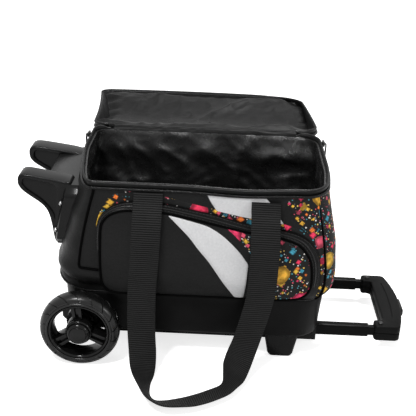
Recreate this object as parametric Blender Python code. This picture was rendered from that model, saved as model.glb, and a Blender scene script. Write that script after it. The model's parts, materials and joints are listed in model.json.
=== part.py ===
"""Wheeled bag for one bowling ball, lying open on its wheels and feet with the lid thrown back.

Metres, +Z up. +X runs from the wheels to the pull handle and -Y is the pocket side. The parts are
laid out from the middle of the bag on the floor, and the whole is then moved so that the origin
is at the middle of its bounding box, on the floor.
"""
import math

import bmesh
import bpy
from mathutils import Matrix, Vector

# Clearances
GAP = 0.0003             # between pieces that touch
SLIDE = 0.0003           # round a sliding tube
EMBED = 0.002            # how far shapes that form one moulding run into each other

# Fabric body
BODY_LENGTH = 0.350      # along X at the rim
BODY_DEPTH = 0.228       # along Y
WALL_TOP = 0.258         # top of the fabric walls above the floor
LEFT_LEAN = 0.028        # how far the wheel end leans out from rim to base
LEFT_BULGE = 0.005
RIGHT_BULGE = 0.016
LEFT_CORNER = 0.026
RIGHT_CORNER = 0.036
LEFT_WRAP = 0.004        # how far the wheel end panel runs past its corner
SEAM_TURN = 55.0         # degrees of the handle end corner that belong to the long panels
WALL = 0.004
LINING = 0.001
WALL_STEPS = 6
CORNER_STEPS = 4

# Rim, lid and its hinge
BINDING = 0.006          # height of the bound zip edge on rim and lid
HINGE_BACK = 0.004       # fold line behind the back wall
LID_DEPTH = 0.036
LID_PANEL = 0.005
LID_OPEN = 183.0         # degrees from shut

# Base
BASE_TOP = 0.100
BASE_BOTTOM = 0.036
BASE_TAPER = 0.004
BASE_ROUND = 0.005
TRAY_WALL = 0.003
BOARD = 0.004

# Ball and its cup
BALL_RADIUS = 0.1085
BALL_FROM_LEFT = 0.096   # ball centre from the wheel end of the rim
CUP_HEIGHT = 0.028
CUP_RADIUS = 0.088
CUP_HOLE = 0.045

# Wheels
WHEEL_RADIUS = 0.055
WHEEL_WIDTH = 0.030
WHEEL_BEHIND_RIM = 0.014  # wheel centre from the wheel end of the rim, towards the handle
WHEEL_CLEAR = 0.007       # inner side of the tyre from the base
TYRE_DEPTH = 0.013
RIM_DEPTH = 0.006
RIM_INSET = 0.002
HUB_RADIUS = 0.0165
HUB_INSET = 0.0012
CAP_DOME = 0.005
SPOKE_COUNT = 3
SPOKE_WIDTH = 0.012
SPOKE_DEPTH = 0.012
SPOKE_TURN = 95.0         # degrees of the first spoke
BUSH_WALL = 0.0027
AXLE_RADIUS = 0.005
BOSS_RADIUS = 0.022
ROUND_SIDES = 32
SMALL_SIDES = 12

# Feet
FOOT_FROM_RIGHT = 0.056   # foot centre from the handle end of the rim
FOOT_LENGTH = 0.048
FOOT_SOLE = 0.027
FOOT_CHAMFER = 0.022      # height of the tapered lower part
FOOT_SOLE_INSET = 0.003

# Tip stand
STAND_HEIGHT = 0.089
STAND_DROP = 0.016        # top of the plate below the wall top
STAND_HALF_WIDTH = 0.086
STAND_PLATE = 0.005
FIN_CENTRE = 0.061        # from the middle of the bag
FIN_WIDTH = 0.028
FIN_REACH = 0.076         # fin tip beyond the rim
FIN_RISE = 0.010          # top of the fin tip above the plate
FIN_TIP_HEIGHT = 0.020
FIN_NOSE = 0.005          # slope cut off the corners of the tip
FIN_BEND = 0.023          # how far the underside falls before it turns down to the plate
FIN_ROUND = 0.004
SCREW_HEAD = 0.0035
SCREW_HEAD_HEIGHT = 0.0022
SCREW_SHANK = 0.0015
SCREW_LENGTH = 0.003
STAND_SCREW_DROPS = (0.026, 0.066)  # screws below the top of the plate
STAND_SCREW_EDGE = 0.0055  # screw centre from the edge of the plate

# Telescopic handle
RAIL_SPACING = 0.134
RAIL_HEIGHT = 0.028
TUBE_WIDTH = 0.012        # middle tube, along Y
TUBE_HEIGHT = 0.018       # middle tube, along Z
TUBE_WALL = 0.0012
TUBE_ROUND = 0.0025
OUTER_LENGTH = 0.302
MIDDLE_LENGTH = 0.3095
INNER_LENGTH = 0.324
MIDDLE_OUT = 0.0765       # middle tube beyond the bezel as photographed
NECK = 0.0085             # inner tube that shows between middle tube and grip
HOUSING_WALL = 0.0035
BEZEL = 0.006
BEZEL_RECESS = 0.004      # bezel behind the handle end of the rim
GRIP_LENGTH = 0.036       # at its ends
GRIP_ARM = 0.020
GRIP_ARM_LENGTH = 0.014
GRIP_HEIGHT = 0.024
GRIP_BOW = 0.012          # how much further its middle reaches
GRIP_ROUND = 0.003
GRIP_SOCKET = 0.018
BOW_STEPS = 8
SPRING_ROOM = 0.007       # from the inner edge of the bar to the yoke channel
SPRING_LENGTH = 0.008
SPRING_RADIUS = 0.003
SPRING_WIRE = 0.0004
SPRING_TURNS = 5
YOKE_DEPTH = 0.004
YOKE_END = 0.003
BUTTON_WIDTH = 0.034
BUTTON_HEIGHT = 0.012
BUTTON_PROUD = 0.005
ROD_RADIUS = 0.002
PIN_RADIUS = 0.002
PIN_LENGTH = 0.004
PIN_SLACK = 0.0002
PIN_FROM_END = 0.012
ROD_TO_PIN = 0.010

# Front pocket: edges from the middle of the bag and heights above the top of the base
POCKET_LEFT = 0.140
POCKET_RIGHT = 0.154
POCKET_FOOT = 0.004
POCKET_TOP = 0.136
POCKET_TOP_RIGHT = 0.072
POCKET_SLOPE_FROM = 0.030  # where the top starts to fall, left of the middle
POCKET_EDGE = 0.008
POCKET_CROWN = 0.018
POCKET_RADII = (0.024, 0.030, 0.040, 0.090, 0.046)
ZIP_BAND = 0.008
ZIP_BAND_HEIGHT = 0.004
ZIP_CLEAR = 0.0006
SLIDER_LENGTH = 0.012
SLIDER_WIDTH = 0.007
SLIDER_HEIGHT = 0.005
POCKET_SLIDER_IN = 0.034   # from the lower end of the sloping top

# Rim zip sliders and their pull tabs
RIM_SLIDER_FROM_BACK = 0.044
RIM_SLIDER_HEIGHT = 0.0105
TAB_LENGTH = 0.022
TAB_WIDTH = 0.007
TAB_DEPTH = 0.0016

# Carry straps
STRAP_WIDTH = 0.038
STRAP_THICK = 0.002
STRAP_LEFT = 0.070         # leg centres from the middle of the bag
STRAP_RIGHT = 0.085
STRAP_DROP = 0.006         # sewn end below the wall top, front
STRAP_BACK_DROP = 0.043    # sewn end below the wall top, back, under the open lid
STRAP_STANDOFF = 0.0235
STRAP_BACK_STANDOFF = 0.009
STRAP_REACH = 0.098        # foremost line of the loop on the floor, off the wall
STRAP_LIE = 0.0026         # strap centre above the floor
STRAP_SAMPLES = 4

# Finishes: linear colour, roughness, metallic
FINISHES = {
    "cloth": ((0.012, 0.012, 0.013), 0.85, 0.0),
    "print": ((0.10, 0.045, 0.05), 0.80, 0.0),
    "nylon": ((0.015, 0.015, 0.016), 0.45, 0.0),
    "web": ((0.010, 0.010, 0.011), 0.75, 0.0),
    "tape": ((0.008, 0.008, 0.009), 0.60, 0.0),
    "vinyl": ((0.012, 0.012, 0.013), 0.50, 0.0),
    "plastic": ((0.010, 0.010, 0.011), 0.42, 0.0),
    "gloss": ((0.008, 0.008, 0.009), 0.22, 0.0),
    "rubber": ((0.010, 0.010, 0.010), 0.60, 0.0),
    "paint": ((0.010, 0.010, 0.011), 0.40, 0.3),
    "steel": ((0.50, 0.50, 0.52), 0.35, 1.0),
    "foam": ((0.03, 0.03, 0.03), 0.95, 0.0),
    "board": ((0.05, 0.04, 0.03), 0.90, 0.0),
}

# Places worked out from the sizes
LEFT_END = -BODY_LENGTH / 2
RIGHT_END = BODY_LENGTH / 2
FRONT = -BODY_DEPTH / 2
BACK = BODY_DEPTH / 2
HINGE_Z = WALL_TOP + GAP + BINDING + GAP
HINGE_Y = BACK + HINGE_BACK
OUTER_WIDTH = TUBE_WIDTH + 2 * (SLIDE + TUBE_WALL)
OUTER_HEIGHT = TUBE_HEIGHT + 2 * (SLIDE + TUBE_WALL)
INNER_WIDTH = TUBE_WIDTH - 2 * (SLIDE + TUBE_WALL)
INNER_HEIGHT = TUBE_HEIGHT - 2 * (SLIDE + TUBE_WALL)
HOUSING_HALF = RAIL_SPACING / 2 + OUTER_WIDTH / 2 + HOUSING_WALL
HOUSING_BOTTOM = RAIL_HEIGHT - OUTER_HEIGHT / 2 - HOUSING_WALL
TRAY_FLOOR = RAIL_HEIGHT + OUTER_HEIGHT / 2 + HOUSING_WALL + GAP
BOARD_BOTTOM = TRAY_FLOOR + TRAY_WALL + GAP
BOARD_TOP = BOARD_BOTTOM + BOARD
BEZEL_OUT = RIGHT_END - BEZEL_RECESS
BEZEL_IN = BEZEL_OUT - BEZEL
HOUSING_END = BEZEL_IN - GAP
HOUSING_START = HOUSING_END - OUTER_LENGTH
MIDDLE_END = BEZEL_OUT + MIDDLE_OUT
GRIP_START = MIDDLE_END + NECK
INNER_END = GRIP_START + GRIP_SOCKET
INNER_START = INNER_END - INNER_LENGTH
BAR_IN = GRIP_START + GRIP_ARM_LENGTH
BAR_OUT = GRIP_START + GRIP_LENGTH
CHANNEL_IN = BAR_IN + SPRING_ROOM
YOKE_IN = CHANNEL_IN + GAP + SPRING_LENGTH + GAP
YOKE_OUT = YOKE_IN + YOKE_DEPTH
BUTTON_OUT = BAR_OUT + GRIP_BOW + BUTTON_PROUD
STAND_TOP = WALL_TOP - STAND_DROP
STAND_LOW = STAND_TOP - STAND_HEIGHT
FIN_TIP_TOP = STAND_TOP + FIN_RISE
WHEEL_X = LEFT_END + WHEEL_BEHIND_RIM
WHEEL_IN = BACK + WHEEL_CLEAR
WHEEL_OUT = WHEEL_IN + WHEEL_WIDTH
TYRE_BORE = WHEEL_RADIUS - TYRE_DEPTH
BUSH_RADIUS = AXLE_RADIUS + GAP + BUSH_WALL
HUB_IN = WHEEL_IN + HUB_INSET
HUB_OUT = WHEEL_OUT - HUB_INSET
BALL_X = LEFT_END + BALL_FROM_LEFT
CUP_BOTTOM = BOARD_TOP + GAP
STRAP_SEWN = STRAP_THICK / 2 + GAP
STRAP_TOP = WALL_TOP - STRAP_DROP
STRAP_BACK_TOP = WALL_TOP - STRAP_BACK_DROP
FOOT_X = RIGHT_END - FOOT_FROM_RIGHT
SLIDER_Y = BACK - RIM_SLIDER_FROM_BACK

made = []


def material(name, finish):
    colour, roughness, metallic = FINISHES[finish]
    made_of = bpy.data.materials.new(name)
    made_of.use_nodes = True
    shader = made_of.node_tree.nodes["Principled BSDF"]
    shader.inputs["Base Color"].default_value = (*colour, 1.0)
    shader.inputs["Roughness"].default_value = roughness
    shader.inputs["Metallic"].default_value = metallic
    return made_of


def put(name, bm, pivot):
    """Turn a bmesh into an object under the frame empty, with its origin at the pivot."""
    bmesh.ops.recalc_face_normals(bm, faces=bm.faces)
    bmesh.ops.translate(bm, verts=bm.verts, vec=-pivot)
    mesh = bpy.data.meshes.new(name)
    bm.to_mesh(mesh)
    bm.free()
    obj = bpy.data.objects.new(name, mesh)
    obj.location = pivot
    bpy.context.collection.objects.link(obj)
    obj.parent = frame_empty
    return obj


def piece(name, bm, finish, pivot=Vector((0, 0, 0)), smooth=35.0):
    obj = put(name, bm, pivot)
    obj.data.materials.append(material(name, finish))
    obj.data.shade_smooth()
    obj.data.set_sharp_from_angle(angle=math.radians(smooth))
    made.append(obj)
    return obj


def tool(name, bm):
    """A hidden shape that another one is cut by or joined with."""
    obj = put(name, bm, Vector((0, 0, 0)))
    obj.hide_render = True
    obj.display_type = "WIRE"
    return obj


def combine(obj, other, operation):
    step = obj.modifiers.new(other.name, "BOOLEAN")
    step.operation = operation
    step.object = other
    step.solver = "EXACT"


def round_edges(obj, width, segments=2):
    step = obj.modifiers.new("rounded", "BEVEL")
    step.width = width
    step.segments = segments
    step.limit_method = "ANGLE"
    step.angle_limit = math.radians(40)


def loft(rings, cyclic=False):
    """Join equal rings of points in order, then cap the ends or close the loop."""
    bm = bmesh.new()
    rows = [[bm.verts.new(point) for point in ring] for ring in rings]
    count = len(rows[0])
    pairs = list(zip(rows, rows[1:]))
    if cyclic:
        pairs.append((rows[-1], rows[0]))
    else:
        bm.faces.new(rows[0])
        bm.faces.new(rows[-1])
    for low, high in pairs:
        for i in range(count):
            k = (i + 1) % count
            bm.faces.new((low[i], low[k], high[k], high[i]))
    return bm


def sheet(outer, inner, closed):
    """Solid between two grids of points [station][level], closed round when told."""
    bm = bmesh.new()
    out = [[bm.verts.new(point) for point in row] for row in outer]
    ins = [[bm.verts.new(point) for point in row] for row in inner]
    count = len(out)
    levels = range(len(out[0]) - 1)
    for i in range(count if closed else count - 1):
        k = (i + 1) % count
        for j in levels:
            bm.faces.new((out[i][j], out[k][j], out[k][j + 1], out[i][j + 1]))
            bm.faces.new((ins[i][j], ins[i][j + 1], ins[k][j + 1], ins[k][j]))
        bm.faces.new((out[i][0], ins[i][0], ins[k][0], out[k][0]))
        bm.faces.new((out[i][-1], out[k][-1], ins[k][-1], ins[i][-1]))
    if not closed:
        for i in (0, count - 1):
            for j in levels:
                bm.faces.new((out[i][j], out[i][j + 1], ins[i][j + 1], ins[i][j]))
    return bm


def block(low, high):
    x0, y0, z0 = low
    x1, y1, z1 = high
    corners = ((x0, y0), (x1, y0), (x1, y1), (x0, y1))
    return loft([[Vector((x, y, z)) for x, y in corners] for z in (z0, z1)])


def prism(outline, y0, y1):
    """Extrude an outline of (x, z) points along Y."""
    return loft([[Vector((x, y, z)) for x, z in outline] for y in (y0, y1)])


def plate(outline, z0, z1):
    """Extrude an outline of (x, y) points along Z."""
    return loft([[Vector((x, y, z)) for x, y in outline] for z in (z0, z1)])


def circle(centre, radius, axis, sides):
    points = []
    for i in range(sides):
        a = 2 * math.pi * i / sides
        u = radius * math.cos(a)
        v = radius * math.sin(a)
        offset = {"X": (0, u, v), "Y": (u, 0, v), "Z": (u, v, 0)}[axis]
        points.append(Vector(centre) + Vector(offset))
    return points


def rod(start, end, radius, axis, sides=SMALL_SIDES):
    return loft([circle(start, radius, axis, sides), circle(end, radius, axis, sides)])


def turned(centre, profile, sides=ROUND_SIDES):
    """Ring about the Y axis from a closed profile of (radius, y) points."""
    x, z = centre
    return loft([circle((x, y, z), r, "Y", sides) for r, y in profile], cyclic=True)


def arc(cx, cy, radius, start, end, steps=CORNER_STEPS):
    points = []
    for i in range(steps + 1):
        a = math.radians(start + (end - start) * i / steps)
        points.append((cx + radius * math.cos(a), cy + radius * math.sin(a)))
    return points


def rounded(corners, radii, steps=CORNER_STEPS):
    """Outline with an arc of its own radius at each corner."""
    points = []
    count = len(corners)
    for i, radius in enumerate(radii):
        here = Vector(corners[i])
        before = (Vector(corners[i - 1]) - here).normalized()
        after = (Vector(corners[(i + 1) % count]) - here).normalized()
        half = before.angle(after) / 2
        centre = here + (before + after).normalized() * radius / math.sin(half)
        first = here + before * radius / math.tan(half) - centre
        last = here + after * radius / math.tan(half) - centre
        start = math.atan2(first.y, first.x)
        swing = math.atan2(first.cross(last), first.dot(last))
        for k in range(steps + 1):
            a = start + swing * k / steps
            points.append((centre.x + radius * math.cos(a), centre.y + radius * math.sin(a)))
    return points


# The body's outline at any height

def rise(z):
    return min(max((z - BASE_TOP) / (WALL_TOP - BASE_TOP), 0.0), 1.0)


def taper(z):
    return BASE_TAPER * max(BASE_TOP - z, 0.0) / (BASE_TOP - BASE_BOTTOM)


def left_x(z):
    t = rise(z)
    return LEFT_END - LEFT_LEAN * (1 - t) - LEFT_BULGE * math.sin(math.pi * t) + taper(z)


def right_x(z):
    return RIGHT_END + RIGHT_BULGE * math.sin(math.pi * math.sqrt(rise(z))) - taper(z)


def half_depth(z):
    return BODY_DEPTH / 2 - taper(z)


def long_side(z, inset, side, shrink=0.0):
    """Front (side -1) or back (side 1) run from the wheel end seam round to the handle end seam."""
    radius = RIGHT_CORNER - inset
    cx = right_x(z) - RIGHT_CORNER
    cy = side * (half_depth(z) - RIGHT_CORNER)
    turn = SEAM_TURN - math.degrees(shrink / radius)
    start = (left_x(z) + LEFT_CORNER + LEFT_WRAP + shrink, side * (half_depth(z) - inset))
    return [start] + arc(cx, cy, radius, 90 * side, (90 - turn) * side)


def right_side(z, inset, shrink=0.0):
    radius = RIGHT_CORNER - inset
    cx = right_x(z) - RIGHT_CORNER
    cy = half_depth(z) - RIGHT_CORNER
    turn = 90 - SEAM_TURN - math.degrees(shrink / radius)
    return arc(cx, -cy, radius, -turn, 0) + arc(cx, cy, radius, 0, turn)


def left_side(z, inset, shrink=0.0):
    radius = LEFT_CORNER - inset
    cx = left_x(z) + LEFT_CORNER
    cy = half_depth(z) - LEFT_CORNER
    seam = cx + LEFT_WRAP - shrink
    y = half_depth(z) - inset
    return [(seam, y)] + arc(cx, cy, radius, 90, 180) + arc(cx, -cy, radius, 180, 270) + [(seam, -y)]


def loop(z, inset):
    front = long_side(z, inset, -1)
    back = long_side(z, inset, 1)
    right = right_side(z, inset)
    left = left_side(z, inset)
    return front + right[1:-1] + back[::-1] + left[1:-1]


def at(points, z):
    return [Vector((x, y, z)) for x, y in points]


def heights(low, high, steps):
    return [low + (high - low) * i / steps for i in range(steps + 1)]


def by_station(levels):
    return [list(row) for row in zip(*levels)]


def wall_of(path, levels, outer, inner, closed):
    """Wall between two insets that follows a path function over a list of heights."""
    out = by_station([at(path(z, outer), z) for z in levels])
    ins = by_station([at(path(z, inner), z) for z in levels])
    return sheet(out, ins, closed)


# Fabric body

def make_body():
    half_gap = GAP / 2
    panels = {
        "front_panel": lambda z, inset: long_side(z, inset, -1, half_gap),
        "back_panel": lambda z, inset: long_side(z, inset, 1, half_gap),
        "right_panel": lambda z, inset: right_side(z, inset, half_gap),
        "left_panel": lambda z, inset: left_side(z, inset, half_gap),
    }
    levels = heights(BASE_TOP, WALL_TOP, WALL_STEPS)
    for name, path in panels.items():
        finish = "print" if name == "right_panel" else "cloth"
        piece(name, wall_of(path, levels, 0, WALL, False), finish)

    skin = WALL + GAP
    lining = wall_of(loop, [BOARD_TOP + GAP] + levels, skin, skin + LINING, True)
    piece("lining", lining, "nylon")

    def rim(z, inset):
        return loop(WALL_TOP, inset)

    low = WALL_TOP + GAP
    piece("rim_binding", wall_of(rim, (low, low + BINDING), 0, WALL, True), "tape")
    web_ends = (LEFT_END + LEFT_CORNER + LEFT_WRAP, RIGHT_END - RIGHT_CORNER)
    web = block((web_ends[0], BACK + GAP, HINGE_Z - BINDING), (web_ends[1], HINGE_Y - GAP, HINGE_Z - GAP))
    piece("hinge_web", web, "cloth")
    return rim, web_ends


# Lid, modelled shut and turned open about its fold line

def make_lid(rim, web_ends):
    pivot = Vector((0, HINGE_Y, HINGE_Z))
    edge_low = HINGE_Z + GAP
    edge_high = edge_low + BINDING
    band_low = edge_high + GAP
    band_high = HINGE_Z + LID_DEPTH
    panel_low = band_high + GAP
    parts = [
        piece("lid_binding", wall_of(rim, (edge_low, edge_high), 0, WALL, True), "tape", pivot),
        piece("lid_band", wall_of(rim, (band_low, band_high), 0, WALL, True), "cloth", pivot),
        piece("lid_panel", plate(loop(WALL_TOP, 0), panel_low, panel_low + LID_PANEL), "nylon", pivot),
        piece("lid_web", block((web_ends[0], BACK + GAP, edge_low),
                               (web_ends[1], HINGE_Y - GAP, HINGE_Z + BINDING)), "cloth", pivot),
    ]
    for obj in parts:
        obj.rotation_euler = (-math.radians(LID_OPEN), 0, 0)


# Base tray, boards and the ball's cup

def make_base():
    rings = [
        at(loop(TRAY_FLOOR, TRAY_WALL), TRAY_FLOOR),
        at(loop(BASE_BOTTOM, TRAY_WALL), BASE_BOTTOM),
        at(loop(BASE_BOTTOM, TRAY_WALL / 2), BASE_BOTTOM),
        at(loop(BASE_BOTTOM + BASE_ROUND, 0), BASE_BOTTOM + BASE_ROUND),
        at(loop(BASE_TOP - GAP, 0), BASE_TOP - GAP),
        at(loop(BASE_TOP - GAP, TRAY_WALL), BASE_TOP - GAP),
        at(loop(TRAY_FLOOR + TRAY_WALL, TRAY_WALL), TRAY_FLOOR + TRAY_WALL),
    ]
    tray = piece("base_tray", loft(rings), "vinyl")
    notch_half = HOUSING_HALF + GAP
    notch = block((BEZEL_IN - EMBED, -notch_half, 0), (RIGHT_END + EMBED, notch_half, TRAY_FLOOR))
    combine(tray, tool("rail_notch", notch), "DIFFERENCE")

    piece("base_board", plate(loop(BOARD_BOTTOM, TRAY_WALL + 2 * GAP), BOARD_BOTTOM, BOARD_TOP), "board")

    ball_z = BOARD_TOP + BALL_RADIUS
    seat = BALL_RADIUS + GAP
    cup_top = CUP_BOTTOM + CUP_HEIGHT
    mouth = math.sqrt(seat ** 2 - (ball_z - cup_top) ** 2)
    seat_rings = []
    for i in range(CORNER_STEPS + 1):
        radius = mouth + (CUP_HOLE - mouth) * i / CORNER_STEPS
        seat_rings.append((radius, ball_z - math.sqrt(seat ** 2 - radius ** 2)))
    profile = [(CUP_HOLE, CUP_BOTTOM), (CUP_RADIUS, CUP_BOTTOM), (CUP_RADIUS, cup_top)] + seat_rings
    cup = loft([circle((BALL_X, 0, z), r, "Z", ROUND_SIDES) for r, z in profile], cyclic=True)
    piece("ball_cup", cup, "foam")


# Feet under the handle end

def make_feet():
    low = HOUSING_HALF + GAP
    corner = RIGHT_CORNER - TRAY_WALL
    into_corner = max(FOOT_X + FOOT_LENGTH / 2 - (right_x(BASE_BOTTOM) - RIGHT_CORNER), 0.0)
    drop = corner - math.sqrt(corner ** 2 - into_corner ** 2)
    high = half_depth(BASE_BOTTOM) - TRAY_WALL - drop - 2 * GAP
    for name, side in (("foot_front", -1), ("foot_back", 1)):
        rings = []
        for length, inset, z in (
            (FOOT_SOLE, FOOT_SOLE_INSET, 0.0),
            (FOOT_LENGTH, 0.0, FOOT_CHAMFER),
            (FOOT_LENGTH, 0.0, TRAY_FLOOR - GAP),
        ):
            y0, y1 = sorted((side * (low + inset), side * (high - inset)))
            x0, x1 = FOOT_X - length / 2, FOOT_X + length / 2
            corners = ((x0, y0), (x1, y0), (x1, y1), (x0, y1))
            rings.append(at(rounded(corners, [FOOT_SOLE_INSET] * 4, 2), z))
        piece(name, loft(rings), "plastic")


# Wheels, their stub axles and brackets

def make_wheel(name, side):
    centre = (WHEEL_X, WHEEL_RADIUS)
    pivot = Vector((WHEEL_X, side * (WHEEL_IN + WHEEL_OUT) / 2, WHEEL_RADIUS))

    def ring(profile, sides=ROUND_SIDES):
        return turned(centre, [(r, side * y) for r, y in profile], sides)

    shoulder = WHEEL_RADIUS - TYRE_DEPTH / 4
    third = WHEEL_WIDTH / 4
    tyre = [
        (TYRE_BORE, WHEEL_IN + RIM_INSET), (shoulder, WHEEL_IN),
        (WHEEL_RADIUS, WHEEL_IN + third), (WHEEL_RADIUS, WHEEL_OUT - third),
        (shoulder, WHEEL_OUT), (TYRE_BORE, WHEEL_OUT - RIM_INSET),
    ]
    piece("tyre_" + name, ring(tyre), "rubber", pivot)

    rim_out = TYRE_BORE - GAP
    rim_in = rim_out - RIM_DEPTH
    edges = (WHEEL_IN + RIM_INSET, WHEEL_OUT - RIM_INSET)
    barrel = [(rim_in, edges[0]), (rim_out, edges[0]), (rim_out, edges[1]), (rim_in, edges[1])]
    rim = piece("rim_" + name, ring(barrel), "gloss", pivot)
    bore = BUSH_RADIUS + GAP
    hub = [(bore, HUB_IN), (HUB_RADIUS, HUB_IN), (HUB_RADIUS, HUB_OUT), (bore, HUB_OUT)]
    combine(rim, tool("hub_" + name, ring(hub)), "UNION")
    middle = (WHEEL_IN + WHEEL_OUT) / 2
    for i in range(SPOKE_COUNT):
        spoke = block((HUB_RADIUS - EMBED, -SPOKE_DEPTH / 2, -SPOKE_WIDTH / 2),
                      (rim_in + EMBED, SPOKE_DEPTH / 2, SPOKE_WIDTH / 2))
        turn = Matrix.Rotation(-math.radians(SPOKE_TURN + 360 * i / SPOKE_COUNT), 4, "Y")
        place = Matrix.Translation((WHEEL_X, side * middle, WHEEL_RADIUS))
        bmesh.ops.transform(spoke, matrix=place @ turn, verts=spoke.verts)
        combine(rim, tool(f"spoke_{name}_{i + 1}", spoke), "UNION")

    bush = [(AXLE_RADIUS + GAP, HUB_IN), (BUSH_RADIUS, HUB_IN), (BUSH_RADIUS, HUB_OUT),
            (AXLE_RADIUS + GAP, HUB_OUT)]
    piece("bush_" + name, ring(bush, SMALL_SIDES), "gloss", pivot)

    cap_in = HUB_OUT + GAP
    cap = loft([circle((WHEEL_X, side * y, WHEEL_RADIUS), r, "Y", ROUND_SIDES) for r, y in (
        (HUB_RADIUS, cap_in), (HUB_RADIUS, cap_in + CAP_DOME / 2), (HUB_RADIUS * 0.8, cap_in + CAP_DOME))])
    piece("hub_cap_" + name, cap, "gloss", pivot)

    boss_out = WHEEL_IN - GAP
    boss = []
    for r, y in ((AXLE_RADIUS + GAP, None), (BOSS_RADIUS, None), (BOSS_RADIUS, boss_out),
                 (AXLE_RADIUS + GAP, boss_out)):
        points = circle((WHEEL_X, 0, WHEEL_RADIUS), r, "Y", ROUND_SIDES)
        for point in points:
            point.y = side * (y or half_depth(point.z) + GAP)
        boss.append(points)
    piece("wheel_bracket_" + name, loft(boss, cyclic=True), "plastic")
    axle_in = half_depth(WHEEL_RADIUS + AXLE_RADIUS) + 2 * GAP
    axle = rod((WHEEL_X, side * axle_in, WHEEL_RADIUS), (WHEEL_X, side * HUB_OUT, WHEEL_RADIUS),
               AXLE_RADIUS, "Y")
    piece("axle_" + name, axle, "steel")


# Tip stand on the wheel end

def make_stand():
    levels = heights(STAND_LOW, STAND_TOP, WALL_STEPS)
    stations = (-STAND_HALF_WIDTH, STAND_HALF_WIDTH)
    back = [[Vector((left_x(z) - GAP, y, z)) for z in levels] for y in stations]
    face = [[Vector((left_x(z) - GAP - STAND_PLATE, y, z)) for z in levels] for y in stations]
    stand = piece("tip_stand", sheet(face, back, False), "plastic")

    tip = LEFT_END - FIN_REACH
    low = FIN_TIP_TOP - FIN_TIP_HEIGHT
    root_low = STAND_LOW + EMBED
    root = [(left_x(z) - GAP - EMBED, z) for z in heights(root_low, STAND_TOP - EMBED, WALL_STEPS)]
    start = Vector((tip + FIN_NOSE, low))
    end = Vector(root[0])
    bend = Vector((end.x, low - FIN_BEND))
    under = []
    for i in range(WALL_STEPS + 1):
        t = i / (WALL_STEPS + 1)
        under.append(tuple(start * (1 - t) ** 2 + bend * 2 * t * (1 - t) + end * t ** 2))
    outline = [(tip + FIN_NOSE, FIN_TIP_TOP), (tip, FIN_TIP_TOP - FIN_NOSE), (tip, low + FIN_NOSE)] + under + root
    for name, side in (("front", -1), ("back", 1)):
        y = side * FIN_CENTRE
        fin = tool("fin_" + name, prism(outline, y - FIN_WIDTH / 2, y + FIN_WIDTH / 2))
        round_edges(fin, FIN_ROUND)
        combine(stand, fin, "UNION")

    number = 0
    for side in (-1, 1):
        for drop in STAND_SCREW_DROPS:
            number += 1
            z = STAND_TOP - drop
            y = side * (STAND_HALF_WIDTH - STAND_SCREW_EDGE)
            seat = Vector((left_x(z) - GAP - STAND_PLATE, y, z))
            lean = math.atan2(left_x(z + EMBED) - left_x(z - EMBED), 2 * EMBED)
            place = Matrix.Translation(seat) @ Matrix.Rotation(lean, 4, "Y")
            hole = rod((-EMBED, 0, 0), (SCREW_LENGTH + GAP, 0, 0), SCREW_SHANK + GAP, "X")
            bmesh.ops.transform(hole, matrix=place, verts=hole.verts)
            combine(stand, tool(f"stand_hole_{number}", hole), "DIFFERENCE")
            screw = loft(screw_rings("X", -1))
            bmesh.ops.transform(screw, matrix=place, verts=screw.verts)
            piece(f"stand_screw_{number}", screw, "steel")


def screw_rings(axis, out):
    """Shank, head and dome of a screw whose seat is at zero, with its head towards out."""
    stations = (
        (SCREW_SHANK, -SCREW_LENGTH), (SCREW_SHANK, GAP), (SCREW_HEAD, GAP),
        (SCREW_HEAD, GAP + SCREW_HEAD_HEIGHT / 2), (SCREW_HEAD * 0.7, GAP + SCREW_HEAD_HEIGHT),
    )
    rings = []
    for radius, along in stations:
        centre = (out * along, 0, 0) if axis == "X" else (0, 0, out * along)
        rings.append(circle(centre, radius, axis, SMALL_SIDES))
    return rings


# Telescopic handle

def tube(y, width, height, x0, x1):
    """Square tube along X with rounded corners."""
    def section(x, inset):
        w = width / 2 - inset
        h = height / 2 - inset
        radius = max(TUBE_ROUND - inset, GAP)
        corners = ((-w, -h), (w, -h), (w, h), (-w, h))
        return [Vector((x, y + u, RAIL_HEIGHT + v)) for u, v in rounded(corners, [radius] * 4, 2)]
    rings = [section(x0, 0), section(x1, 0), section(x1, TUBE_WALL), section(x0, TUBE_WALL)]
    return loft(rings, cyclic=True)


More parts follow.
